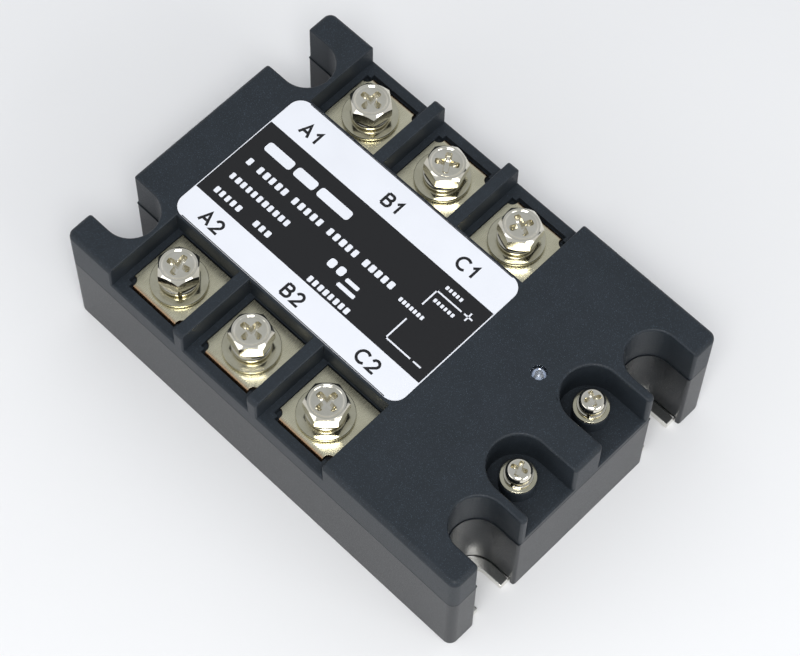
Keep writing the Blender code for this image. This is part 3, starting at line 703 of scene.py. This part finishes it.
def make_housing(plastic):
    top = PARTING - PARTING_GAP / 2
    inner_x, inner_y = NOTCH_X - NOTCH_WIDTH / 2 - WALL, HALF_WIDTH - WALL
    end_x, end_y = HALF_LENGTH - WALL, NOTCH_Y - NOTCH_WIDTH / 2 - WALL
    housing = body_prism("housing_shell", 0, 0, top)
    cut(housing, notch_prisms(HOUSING_NOTCH_WIDTH, -1, top + 1))
    rabbet = rectangle(-RABBET_HALF_LENGTH, RABBET_HALF_LENGTH, -RABBET_HALF_WIDTH, RABBET_HALF_WIDTH)
    cut(housing, [prism("rabbet", rabbet, -1, RABBET_TOP)])
    cut(housing, [prism("cavity", cross(end_x, end_y, inner_x, inner_y), BASE_TOP, top + 1)])
    add(housing, [
        box("ledge", *sorted(s * x for x in LEDGE_X), -LEDGE_HALF_WIDTH, LEDGE_HALF_WIDTH, *LEDGE_Z)
        for s in (-1, 1)
    ])

    def rule(a, b):
        """Rounds the edges at the parting line, round the foot and down the ends."""
        level = near(a.z, b.z)
        reach_x, reach_y = max(abs(a.x), abs(b.x)), max(abs(a.y), abs(b.y))
        outside = reach_x > NOTCH_X - HOUSING_NOTCH_WIDTH / 2 - 0.35 or reach_y > HALF_WIDTH - 0.1
        inside = reach_x < end_x + 0.3 and reach_y < inner_y + 0.1
        if level and near(a.z, top) and outside and not inside:
            return PARTING_ROUND
        if level and near(a.z, 0) and (abs(a.x) > HALF_LENGTH - 2 or abs(a.y) > HALF_WIDTH - 2):
            return FLOOR_ROUND
        if not level and near(abs(a.x), HALF_LENGTH) and abs(a.y) < HALF_WIDTH - 3:
            return END_ROUND
        return 0

    round_edges(housing, rule, END_ROUND, 3)
    surface(housing, plastic)
    settled(housing, "root", "lower_housing_plastic", "lower_housing")


def terminal_pockets():
    """The pockets in the decks that the strips' plates lie in, and the slots for their legs."""
    shoulder = STRIP_OUTER - RELIEF + RELIEF_RADIUS + POCKET_GAP
    half, leg = STRIP_HALF + POCKET_GAP, LEG_HALF + POCKET_GAP
    step = leg + LEG_SLOT_STEP
    inner, outer = STRIP_INNER - POCKET_BACK_GAP, STRIP_OUTER + POCKET_GAP
    right = [(half, inner), (half, shoulder), (step, shoulder), (step, outer)]
    outline = right + [(-u, v) for u, v in reversed(right)]
    slot_inner = STRIP_OUTER - STRIP_THICK - POCKET_BACK_GAP
    for x in BAYS:
        for turn in (0, 180):
            yield moved(turned_mesh(prism("pocket", outline, POCKET_FLOOR, DECK + 1), turn), x, 0)
            yield moved(turned_mesh(box("slot", -leg, leg, slot_inner, outer, *LEG_SLOT_Z), turn), x, 0)


def cover_rule(a, b):
    """How far each convex edge of the cover is rounded."""
    reach_x, reach_y = max(abs(a.x), abs(b.x)), max(abs(a.y), abs(b.y))
    least_x, least_y = min(abs(a.x), abs(b.x)), min(abs(a.y), abs(b.y))
    at_side = least_y > HALF_WIDTH - SAME
    at_end = least_x > HALF_LENGTH - SAME
    at_corner = least_x > HALF_LENGTH - CORNER - SAME and least_y > HALF_WIDTH - CORNER - SAME
    level = near(a.z, b.z)
    if level and near(a.z, TOP):
        if at_side or at_end or at_corner:
            return TOP_ROUND
        if reach_y < HALF_SPINE - 0.2 and LABEL_X[0] - 1 < min(a.x, b.x) and max(a.x, b.x) < LABEL_X[1] + 1:
            return 0
        if math.hypot(a.x - LED[0], a.y - LED[1]) < LED_HOLE_RADIUS + 0.4:
            return LED_HOLE_ROUND
        half_bay = BAY_LENGTH / 2 + 0.15
        in_bay = min(a.x, b.x) > BAYS[0] - half_bay and max(a.x, b.x) < BAYS[-1] + half_bay
        return BAY_ROUND if in_bay else RIM_ROUND
    if level and near(a.z, DECK) and at_side:
        return DECK_ROUND
    if level and near(a.z, RECESS_FLOOR) and at_end:
        return FLOOR_ROUND
    if level and near(a.z, BOSS_TOP) and reach_x < HALF_LENGTH - 2:
        return BOSS_ROUND
    if level and near(a.z, PARTING + PARTING_GAP / 2):
        inside = reach_x < HALF_LENGTH - WALL + 0.3 and reach_y < HALF_WIDTH - WALL + 0.3 and least_x < 40
        return 0 if inside else PARTING_ROUND
    if not level and near(a.x, b.x) and near(a.y, b.y):
        if at_end and least_y < HALF_WIDTH - 3:
            beside_recess = a.x > 0 and least_y < NOTCH_Y - NOTCH_WIDTH / 2 - 1
            return TIP_ROUND if beside_recess else END_ROUND
        if at_side:
            return RIM_ROUND
    return 0


def make_cover(plastic):
    bottom = PARTING + PARTING_GAP / 2
    above = TOP + 2
    cavity_x, end_x = NOTCH_X - NOTCH_WIDTH / 2 - WALL, CONTROL["plus"][0] - RECESS_WIDTH / 2 - WALL
    cavity_y, spine_y = HALF_WIDTH - WALL, NOTCH_Y - NOTCH_WIDTH / 2 - WALL
    half_bay = BAY_LENGTH / 2
    cover = body_prism("cover_shell", 0, bottom, TOP)
    cut(cover, notch_prisms(NOTCH_WIDTH, bottom - 1, above))
    cut(cover, [
        box("bay", x - half_bay, x + half_bay, *sorted((s * HALF_SPINE, s * (HALF_WIDTH + 2))), DECK, above)
        for x in BAYS for s in (-1, 1)
    ])
    cut(cover, [
        prism("recess", end_slot(1, x, y, RECESS_WIDTH), RECESS_FLOOR, above) for x, y in CONTROL.values()
    ])
    cut(cover, [box("under_decks", -cavity_x, end_x, -cavity_y, cavity_y, bottom - 1, DECK_UNDERSIDE)])
    cut(cover, [box("under_spine", WALL - HALF_LENGTH, end_x, -spine_y, spine_y, bottom - 1, CEILING)])
    cut(cover, [box("beside", BAYS[-1] + half_bay + WALL, end_x, -cavity_y, cavity_y, bottom - 1, CEILING)])
    boss_x, boss_y = NUT_BOSS_HALF_X, NUT_BOSS_HALF_Y
    pocket = hexagon(NUT_POCKET_FLATS)
    add(cover, [
        box("nut_boss", x - boss_x, x + boss_x, y - boss_y, y + boss_y, *NUT_BOSS_Z)
        for x, y in POWER.values()
    ])
    cut(cover, [moved(prism("nut", pocket, NUT_POCKET_FLOOR, DECK + 1), x, y) for x, y in POWER.values()])
    cut(cover, [
        prism("tip", circle(x, y, TIP_HOLE_RADIUS), TIP_HOLE_FLOOR, DECK + 1) for x, y in POWER.values()
    ])
    cut(cover, list(terminal_pockets()))
    add(cover, [
        prism("boss", circle(x, y, BOSS_RADIUS), RECESS_FLOOR - 1, BOSS_TOP) for x, y in CONTROL.values()
    ])
    cut(cover, [
        prism("bore", circle(x, y, POST_BORE_RADIUS), bottom - 1, BOSS_TOP + 1) for x, y in CONTROL.values()
    ])
    edge = LABEL_GAP
    seat = rounded(LABEL_X[0] - edge, LABEL_X[1] + edge, -LABEL_Y - edge, LABEL_Y + edge, LABEL_CORNER + edge)
    cut(cover, [prism("label_seat", seat, LABEL_FLOOR, above)])
    cut(cover, [prism("led_hole", circle(*LED, LED_HOLE_RADIUS, LED_STEPS), CEILING - 1, above)])
    round_edges(cover, cover_rule, TOP_ROUND)
    surface(cover, plastic)
    settled(cover, "root", "top_cover_plastic", "top_cover")


def make_base(metal):
    outline = rounded(-BASE_HALF_LENGTH, BASE_HALF_LENGTH, -BASE_HALF_WIDTH, BASE_HALF_WIDTH, BASE_CORNER)
    base = prism("base_metal", outline, 0, BASE_TOP)
    cut(base, notch_prisms(BASE_SLOT, -1, BASE_TOP + 1))
    cut(base, [
        stacked("seat", [(low, BASE_TOP - SEAT_DEPTH), (high, BASE_TOP + SEAT_DEPTH)])
        for low, high in zip(notch_outlines(SEAT_WIDTH), notch_outlines(SEAT_WIDTH + SEAT_FLARE))
    ])

    def rule(a, b):
        return BASE_ROUND if near(a.z, b.z) or near(abs(a.x), BASE_HALF_LENGTH) else 0

    round_edges(base, rule, BASE_ROUND, 2)
    surface(base, metal)
    settled(base, "root", "baseplate_nickel", "baseplate")


# Label

LABEL_Z = (30.8, 31.0)
BAND_Y = (-11.2, 9.4)
BAND_MARGIN = 0.22
RIM_Y = (17.62, 17.80)
RIM_MARGIN = 3
PRINT_CORNER = 0.05
PRINT_RISE = 0.012
LINE_WIDTH = 0.34
MITRE_LIMIT = 0.45
MARK_HEIGHT = 3.3
MARKS = (
    ("a1", -34.6, 13.0), ("b1", -12.0, 13.0), ("c1", 8.1, 13.2),
    ("a2", -34.0, -14.7), ("b2", -11.4, -14.8), ("c2", 8.7, -14.7),
)
# Bars where words would stand: x, y, height, lengths, gap
WORDS = (
    (-38.8, 5.0, 2.3, (7.2, 5.6, 8.6), 0.9),
    (-11.8, -4.6, 2.0, (1.7, 1.7), 0.8),
    (-6.6, -5.2, 0.9, (3.4,), 0.8),
    (-7.2, -7.0, 0.9, (4.6,), 0.8),
)
# Small bars where letters would stand: x, y, height, how many in each word, pitch
LETTERS = (
    (-39.0, 0.0, 1.65, (1, 5, 5, 5, 5), 1.69),
    (-39.0, -4.6, 1.45, (11,), 1.50),
    (-39.0, -8.9, 1.45, (5,), 1.50),
    (-28.1, -8.9, 1.45, (3,), 1.60),
    (-12.0, -10.0, 1.40, (8,), 1.40),
    (8.3, 7.2, 0.85, (5,), 0.92),
    (8.5, 3.6, 0.85, (6,), 0.92),
    (3.6, -0.9, 0.95, (7,), 0.95),
)
# The control circuit's two lines, and a minus and a plus at their ends
LINES = (
    ((13.9, -8.7), (7.6, -8.7), (7.6, -3.2)),
    ((13.9, 5.4), (7.6, 5.4), (7.6, 1.4)),
    ((15.0, -8.7), (16.7, -8.7)),
    ((14.9, 5.45), (16.7, 5.45)),
    ((15.8, 4.55), (15.8, 6.35)),
)


def flat_bar(x0, x1, y0, y1, bottom, rise, radius):
    return prism("bar", rounded(x0, x1, y0, y1, radius, 4), bottom, bottom + rise)


def stroke(points, width, bottom, rise):
    """A ribbon of constant width along a line, with mitred joints."""
    left, right = [], []
    for i, (u, v) in enumerate(points):
        before = Vector(points[max(i - 1, 0)])
        after = Vector(points[min(i + 1, len(points) - 1)])
        here = Vector((u, v))
        one = (here - before).normalized() if i else (after - here).normalized()
        two = (after - here).normalized() if i < len(points) - 1 else one
        side = (Vector((-one.y, one.x)) + Vector((-two.y, two.x))).normalized()
        reach = width / 2 / max(MITRE_LIMIT, side.dot(Vector((-one.y, one.x))))
        left.append(tuple(here + side * reach))
        right.append(tuple(here - side * reach))
    return prism("stroke", right + left[::-1], bottom, bottom + rise)


GLYPHS = {
    "a": [[(0.0, 0.0), (0.41, 1.0), (0.82, 0.0)], [(0.16, 0.34), (0.66, 0.34)]],
    "b": [
        [(0.0, 0.0), (0.0, 1.0)],
        [(0.0, 1.0)] + arc(0.38, 0.77, 0.23, 90, -90, 10) + [(0.0, 0.54)],
        [(0.0, 0.54)] + arc(0.40, 0.27, 0.27, 90, -90, 10) + [(0.0, 0.0)],
    ],
    "c": [arc(0.46, 0.5, 0.5, 48, 312, 20)],
    "1": [[(0.0, 0.70), (0.30, 1.0), (0.30, 0.0)]],
    "2": [arc(0.30, 0.70, 0.30, 172, -38, 12) + [(0.0, 0.0), (0.66, 0.0)]],
}
GLYPH_WIDTH = {"a": 0.82, "b": 0.67, "c": 0.80, "1": 0.34, "2": 0.64}


def written(text, height, x, y, bottom, rise):
    """Upright strokes of a terminal's mark with their middle at a place, read along +X.

    Each further stroke of a glyph stands a little higher, so no two faces lie in one plane where they cross.
    """
    gap, weight = 0.32 * height, 0.18 * height
    tall = height - weight
    start = x - (sum(GLYPH_WIDTH[glyph] * tall for glyph in text) + gap * (len(text) - 1)) / 2
    for glyph in text:
        for i, line in enumerate(GLYPHS[glyph]):
            points = [(start + u * tall, y - tall / 2 + v * tall) for u, v in line]
            yield stroke(points, weight, bottom, rise * (1 + 0.2 * i))
        start += GLYPH_WIDTH[glyph] * tall + gap


def word_bars(bottom, x, y, height, lengths, gap):
    """A line of plain bars where words would stand."""
    for length in lengths:
        yield flat_bar(x, x + length, y - height / 2, y + height / 2, bottom, PRINT_RISE, height * 0.3)
        x += length + gap


def letter_bars(bottom, x, y, height, counts, pitch):
    """A line of plain small bars, one where each letter of a word would stand."""
    for count in counts:
        for _ in range(count):
            wide = pitch * (0.60 + 0.14 * rng.random())
            yield flat_bar(x, x + wide, y - height / 2, y + height / 2, bottom, PRINT_RISE, wide * 0.25)
            x += pitch
        x += pitch * 0.75


def ruled(bottom, points):
    """A line of constant width through points that turn at right angles."""
    half = LINE_WIDTH / 2
    for (x0, y0), (x1, y1) in zip(points, points[1:]):
        xs, ys = sorted((x0, x1)), sorted((y0, y1))
        yield box("line", xs[0] - half, xs[1] + half, ys[0] - half, ys[1] + half, bottom, bottom + PRINT_RISE)


def make_label():
    white = ink("label_white", (0.84, 0.86, 0.91), 0.42)
    black = ink("label_black", (0.004, 0.004, 0.005), 0.38)
    bottom, top = LABEL_Z
    outline = rounded(LABEL_X[0], LABEL_X[1], -LABEL_Y, LABEL_Y, LABEL_CORNER)
    sheet = prism("label_sheet", outline, bottom, top)
    round_edges(sheet, lambda a, b: LABEL_ROUND if near(a.z, top) and near(b.z, top) else 0, LABEL_ROUND, 1)
    surface(sheet, white)
    settled(sheet, "root", "label_print", "label")

    ends = LABEL_X[0] + BAND_MARGIN, LABEL_X[1] - BAND_MARGIN
    band = flat_bar(*ends, *BAND_Y, top, PRINT_RISE, PRINT_CORNER)
    band.name = "label_band"
    surface(band, black)
    settled(band, "root", "label_print", even=False)

    marks = []
    for key, x, y in MARKS:
        marks += written(key, MARK_HEIGHT, x, y, top, PRINT_RISE)
    ends = LABEL_X[0] + RIM_MARGIN, LABEL_X[1] - RIM_MARGIN
    for side in (-1, 1):
        marks.append(flat_bar(*ends, *sorted(side * y for y in RIM_Y), top, PRINT_RISE, PRINT_CORNER))
    dark = joined("label_dark_marks", marks)
    surface(dark, black)
    settled(dark, "root", "label_print", even=False)

    on_band = top + PRINT_RISE
    light = []
    for words in WORDS:
        light += word_bars(on_band, *words)
    for letters in LETTERS:
        light += letter_bars(on_band, *letters)
    for points in LINES:
        light += ruled(on_band, points)
    pale = joined("label_light_marks", light)
    surface(pale, white)
    settled(pale, "root", "label_print", even=False)


# Power terminals

def strip_outline():
    lower, upper = STRIP_BOTTOM + STRIP_BEND, STRIP_TOP - STRIP_BEND
    bend, thick, steps = STRIP_BEND, STRIP_THICK, 10
    outside = [(STRIP_FOOT, STRIP_BOTTOM)]
    outside += arc(STRIP_OUTER - bend, lower, bend, -90, 0, steps)
    outside += arc(STRIP_OUTER - bend, upper, bend, 0, 90, steps)
    outside += [(STRIP_INNER, STRIP_TOP)]
    inside = [(STRIP_INNER, STRIP_TOP - thick)]
    inside += arc(STRIP_OUTER - bend, upper, bend - thick, 90, 0, steps)
    inside += arc(STRIP_OUTER - bend, lower, bend - thick, 0, -90, steps)
    return outside + inside + [(STRIP_FOOT, STRIP_BOTTOM + thick)]


def make_strips(metal):
    half = STRIP_HALF
    strip = lofted("strip", [[(x, y, z) for y, z in strip_outline()] for x in (-half, half)])
    start, far = STRIP_OUTER - RELIEF, STRIP_OUTER + 1
    curve = arc(half, start + RELIEF_RADIUS, RELIEF_RADIUS, 180, 270, 10)
    relief = [(LEG_HALF, far)] + curve + [(half + 1, start), (half + 1, far)]
    mirrored = [(-u, v) for u, v in reversed(relief)]
    cut(strip, [prism("relief", outline, STRIP_BOTTOM - 1, STRIP_TOP + 1) for outline in (relief, mirrored)])
    cut(strip, [
        box("side", *sorted((s * LEG_HALF, s * (half + 1))), STRIP_INNER - 1, far, STRIP_BOTTOM - 1,
            STRIP_TOP - STRIP_BEND) for s in (-1, 1)
    ])
    cut(strip, [prism("hole", circle(0, SCREW_Y, STRIP_HOLE_RADIUS), STRIP_TOP - 2, STRIP_TOP + 1)])
    round_edges(strip, lambda a, b: STRIP_ROUND if min(a.z, b.z) > STRIP_TOP - 0.1 else 0, STRIP_ROUND, 2)
    surface(strip, metal)
    for key, (x, y) in POWER.items():
        copy = bpy.data.objects.new("strip_" + key, strip.data.copy())
        bpy.context.scene.collection.objects.link(copy)
        turned_mesh(copy, 0 if y > 0 else 180)
        settled(moved(copy, x, 0), "root", "terminal_nickel", "terminal_" + key)
    discard(strip)


# Screws and washers

def threaded(count, radius, pitch, tip, top, depth, chamfer):
    """Rings of a right-hand thread on a shank, with a chamfered tip."""
    steps = max(2, round((top - tip) / pitch * 8))
    rings = []
    for step in range(steps + 1):
        z = tip + (top - tip) * step / steps
        limit = radius - max(0.0, chamfer - (z - tip)) * 0.9
        ring = []
        for i in range(count):
            turn = 2 * math.pi * i / count
            phase = (z / pitch - i / count) % 1
            wave = abs(2 * phase - 1)
            r = min(limit, radius - depth * min(1.0, max(0.0, (wave - 0.12) / 0.76)))
            ring.append((r * math.cos(turn), r * math.sin(turn), z))
        rings.append(ring)
    return rings


def ring_at(outline, z):
    return [(u, v, z) for u, v in outline]


def cross_outline(arm, width):
    """A cross with blunt arm ends, anticlockwise."""
    half, tip, blunt = width / 2, width * 0.3, width * 0.25
    one = [(arm - blunt, -half), (arm, -tip), (arm, tip), (arm - blunt, half), (half, half)]
    points = []
    for turn in (0, 90, 180, 270):
        c, s = round(math.cos(math.radians(turn))), round(math.sin(math.radians(turn)))
        points += [(u * c - v * s, u * s + v * c) for u, v in one]
    return points


def cross_cutter(top, arm, width, depth):
    """A tapered cross recess: wide at the top, and a small cross at its floor."""
    return stacked("cross", [
        (cross_outline(arm * 0.50, width * 0.60), top - depth),
        (cross_outline(arm * 0.78, width * 0.74), top - depth * 0.70),
        (cross_outline(arm, width), top - 0.02),
        (cross_outline(arm * 1.05, width * 1.1), top + 0.5),
    ])


def colour_recess(obj, top, arm, depth):
    """Gives the faces inside the cross recess the second material, which carries painted shade."""
    for face in obj.data.polygons:
        c = face.center
        inside = math.hypot(c.x, c.y) < arm * 1.1 and top - depth - 0.05 < c.z < top - 0.02
        face.material_index = 1 if inside else 0


# The power head's top, from its rim to the dish: radius and height over the head's top
HEAD_LEVELS = (
    (3.84, -CHAMFER_DROP), (3.76, -0.04), (3.62, 0), (3.44, 0), (3.32, -0.05), (3.22, -0.18), (3.06, -0.26),
    (2.80, -DISH), (2.60, -DISH),
)


def power_screw_mesh(cross_turn):
    count = 60
    rings = threaded(
        count, SHANK_RADIUS, POWER_PITCH, SCREW_TIP, HEAD_BOTTOM - NECK_LENGTH, THREAD_DEPTH, TIP_CHAMFER
    )
    rings.append(ring_at(circle(0, 0, NECK_RADIUS, count), HEAD_BOTTOM))
    rings.append(ring_at(circle(0, 0, HEAD_FACE_RADIUS, count), HEAD_BOTTOM))
    corners = [(u, v, math.hypot(u, v)) for u, v in hexagon(HEAD_FLATS, count, HEAD_CORNER_RADIUS)]
    low, high = HEAD_BOTTOM + 0.05, HEAD_TOP - CHAMFER_DROP
    rings.append([(u, v, low + (r - HEAD_FACE_RADIUS) * UNDER_HEAD_SLOPE) for u, v, r in corners])
    rings.append([(u, v, high - (r - TOP_CHAMFER_RADIUS) * TOP_CHAMFER_SLOPE) for u, v, r in corners])
    rings += [ring_at(circle(0, 0, r, count), HEAD_TOP + rise) for r, rise in HEAD_LEVELS]
    screw = lofted("screw", rings)
    face = HEAD_TOP - DISH
    cut(screw, [turned_mesh(cross_cutter(face, **CROSS), cross_turn)])
    colour_recess(screw, face, CROSS["arm"], CROSS["depth"])
    return screw


def control_screw_mesh():
    count = 48
    neck = CONTROL_HEAD_BOTTOM - SMALL_NECK_LENGTH
    rings = threaded(
        count, SMALL_SHANK_RADIUS, CONTROL_PITCH, CONTROL_TIP, neck, SMALL_THREAD_DEPTH, SMALL_TIP_CHAMFER
    )
    rings.append(ring_at(circle(0, 0, SMALL_NECK_RADIUS, count), CONTROL_HEAD_BOTTOM))
    rings.append(ring_at(circle(0, 0, SMALL_HEAD_UNDER_RADIUS, count), CONTROL_HEAD_BOTTOM))
    rings.append(ring_at(circle(0, 0, SMALL_HEAD_RADIUS, count), CONTROL_HEAD_BOTTOM + 0.2))
    for u, v in arc(SMALL_HEAD_RADIUS - SMALL_DOME, CONTROL_HEAD_TOP - SMALL_DOME, SMALL_DOME, 0, 86, 7):
        rings.append(ring_at(circle(0, 0, u, count), v))
    screw = lofted("small_screw", rings)
    face = CONTROL_HEAD_TOP - SMALL_FACE_DROP
    cut(screw, [cross_cutter(face, **SMALL_CROSS)])
    colour_recess(screw, face, SMALL_CROSS["arm"], SMALL_CROSS["depth"])
    return screw


def washer_section(inner, outer, bottom, top, edge):
    """A washer's section, with its edges rounded off, anticlockwise as (radius, height)."""
    third = 0.3 * edge
    return [
        (inner + edge, bottom), (outer - edge, bottom), (outer - third, bottom + third), (outer, bottom + edge),
        (outer, top - edge), (outer - third, top - third), (outer - edge, top), (inner + edge, top),
        (inner, top - edge), (inner, bottom + edge),
    ]


def flat_washer(inner, outer, bottom, top, edge, steps):
    return swept_ring("flat", washer_section(inner, outer, bottom, top, edge), steps)


def spring_washer(inner, outer, bottom, top, edge, steps, gap, lift):
    """A ring split by a gap, with one of its ends higher than the other."""
    split = math.degrees(math.asin(gap / 2 / outer))
    section = washer_section(inner, outer, bottom, top, edge)
    return swept_ring("spring", section, steps, split, 360 - split, lift)


def leaned(obj, degrees, azimuth, height):
    """Leans a piece that stands on the origin towards an azimuth, about a point at a height."""
    across = Vector((-math.sin(math.radians(azimuth)), math.cos(math.radians(azimuth)), 0))
    pivot = Matrix.Translation((0, 0, height))
    obj.data.transform(pivot @ Matrix.Rotation(math.radians(degrees), 4, across) @ pivot.inverted())
    return obj


def spread(patterns, stem, places, turns, body, slot, node_stem, *materials, lean=0.0, pivot=0.0):
    """One piece at each place, turned and leaned as it was left, riding on its own body."""
    for i, (key, (x, y)) in enumerate(places.items()):
        copy = bpy.data.objects.new(f"{stem}_{key}", patterns[i % len(patterns)].data.copy())
        bpy.context.scene.collection.objects.link(copy)
        turned_mesh(copy, turns[key])
        if lean:
            leaned(copy, LEANS[key][0] * lean, LEANS[key][1], pivot)
        surface(moved(copy, x, y), *materials)
        settled(copy, body + key, slot, f"{node_stem}_{key}")
    for pattern in patterns:
        discard(pattern)


def make_fasteners():
    bright = plated("screw_plate", (0.80, 0.77, 0.68), (0.71, 0.68, 0.57), 0.10, depth=0.0008, grain_size=0.8)
    # Cross recesses: a dark brown painted shade inside the recess, in paler brown patches
    recess = plated("cross_recess_shade", (0.27, 0.18, 0.10), (0.52, 0.41, 0.27), 0.22, depth=0.002)
    spring = plated("spring_plate", (0.70, 0.67, 0.58), (0.58, 0.55, 0.45), 0.14, depth=0.001, grain_size=0.6)
    flat = plated("flat_plate", (0.66, 0.63, 0.49), (0.55, 0.52, 0.38), 0.17, depth=0.0010, grain_size=1.0)
    heads = [power_screw_mesh(CROSS_TURNS[key] - HEX_TURNS[key]) for key in POWER]
    spread(heads, "hex_screw", POWER, HEX_TURNS, "power_screw_", "screw_nickel", "power_screw",
           bright, recess, lean=1.0, pivot=LEAN_FROM)
    low, high = low_of("power_spring_washer_a1"), high_of("power_spring_washer_a1")
    ring = spring_washer(
        SPRING_HOLE, SPRING_RADIUS, low + 0.02, high + 0.2, SPRING_EDGE, 72, SPRING_SPLIT, SPRING_LIFT
    )
    spread([ring], "lock_washer", POWER, SPLIT_TURNS, "power_washers_", "spring_washer_nickel",
           "power_spring_washer", spring, lean=0.5, pivot=(low + high) / 2)
    low, high = low_of("power_flat_washer_a1"), high_of("power_flat_washer_a1")
    ring = flat_washer(WASHER_HOLE, FLAT_RADIUS, low, high, FLAT_EDGE, 96)
    spread([ring], "plain_washer", POWER, FLAT_TURNS, "power_washers_", "flat_washer_nickel",
           "power_flat_washer", flat)
    spread([control_screw_mesh()], "pan_screw", CONTROL, SMALL_TURNS, "control_screw_", "screw_nickel",
           "control_screw", bright, recess)
    low, high = low_of("control_spring_washer_plus"), high_of("control_spring_washer_plus")
    ring = spring_washer(
        SMALL_WASHER_HOLE, SMALL_SPRING_RADIUS, low + 0.04, high - 0.04, SMALL_SPRING_EDGE, 60,
        SMALL_SPRING_SPLIT, SMALL_SPRING_LIFT,
    )
    spread([ring], "small_lock_washer", CONTROL, SMALL_SPLITS, "control_washers_", "spring_washer_nickel",
           "control_spring_washer", spring)
    low, high = low_of("control_flat_washer_plus"), high_of("control_flat_washer_plus")
    ring = flat_washer(SMALL_WASHER_HOLE, SMALL_FLAT_RADIUS, low, high, SMALL_FLAT_EDGE, 72)
    spread([ring], "small_plain_washer", CONTROL, SMALL_FLAT_TURNS, "control_washers_", "flat_washer_nickel",
           "control_flat_washer", flat)


# Status light

def make_led():
    clear = resin()
    bottom, flange_top = LED_FLANGE_Z
    profile = [(LED_FLANGE_RADIUS, bottom), (LED_FLANGE_RADIUS, flange_top), (LED_RADIUS, flange_top)]
    profile += arc(0, LED_DOME_Z, LED_RADIUS, 0, 84, 8)
    lens = stacked("light_lens", [(circle(0, 0, r, LED_STEPS), z) for r, z in profile])
    surface(moved(lens, *LED), clear)
    settled(lens, "root", "led_resin", "status_led")
    cup = swept_ring("light_cup", LED_CUP, LED_STEPS)
    surface(moved(cup, *LED), plated("cup_plate", (0.93, 0.95, 1.00), (0.85, 0.90, 1.00), 0.08))
    settled(cup, "root", "led_resin")
    half = LED_LEG_HALF
    legs = joined("light_legs", [
        box("leg", -half, half, y - half, y + half, *LED_LEG_Z) for y in (-LED_LEG_Y, LED_LEG_Y)
    ])
    surface(moved(legs, *LED), plated("leg_tin", (0.66, 0.66, 0.66), (0.56, 0.56, 0.57), 0.3))
    settled(legs, "root", "led_resin")


# CAD nodes that keep their shape

INNER_PLAIN = {
    "control_board": ("board_mask", (0.010, 0.075, 0.030), (0.016, 0.11, 0.042), 0.38, 0.6, 0.01),
    "optocoupler": ("white_package", (0.72, 0.72, 0.70), (0.80, 0.80, 0.77), 0.5, 0.25, 0.008),
    "current_limiter": ("black_package", (0.012, 0.012, 0.012), (0.022, 0.022, 0.022), 0.5, 0.2, 0.01),
    "ceramic_substrate": ("white_ceramic", (0.74, 0.74, 0.71), (0.82, 0.82, 0.79), 0.55, 0.15, 0.006),
    "thyristor": ("chip_face", (0.20, 0.21, 0.24), (0.32, 0.33, 0.37), 0.25, 0.4, 0.002, 0.6),
}


def finish_inner_nodes():
    looks = {stem: plain(*settings) for stem, settings in INNER_PLAIN.items()}
    looks["clamp_nut"] = plated("nut_plate", (0.66, 0.66, 0.64), (0.56, 0.56, 0.53), 0.3)
    looks["control_post"] = plated("post_plate", (0.74, 0.55, 0.26), (0.62, 0.44, 0.20), 0.25)
    for name, obj in NODES.items():
        for stem, material in looks.items():
            if name.startswith(stem):
                obj.data.materials.clear()
                obj.data.materials.append(material)


def main():
    bpy.context.scene.view_settings.view_transform = "Standard"
    make_camera()
    make_studio()
    # The third colour of each plastic is the colour of its painted glints
    cover_plastic = moulded(
        "cover_plastic", (0.0165, 0.0215, 0.0270), (0.0190, 0.0245, 0.0310), (0.070, 0.095, 0.125),
        roughness=0.46, grain=0.22, depth=0.025,
    )
    housing_plastic = moulded(
        "housing_plastic", (0.0095, 0.0115, 0.0140), (0.0120, 0.0145, 0.0175), (0.070, 0.085, 0.10),
        roughness=0.32, grain=0.22, depth=0.022,
    )
    make_housing(housing_plastic)
    make_cover(cover_plastic)
    make_base(plated("base_plate", (0.80, 0.79, 0.75), (0.72, 0.71, 0.66), 0.18, (1, 6, 1), 0.0008, 1.2))
    make_label()
    make_strips(strip_metal())
    make_fasteners()
    make_led()
    finish_inner_nodes()


main()
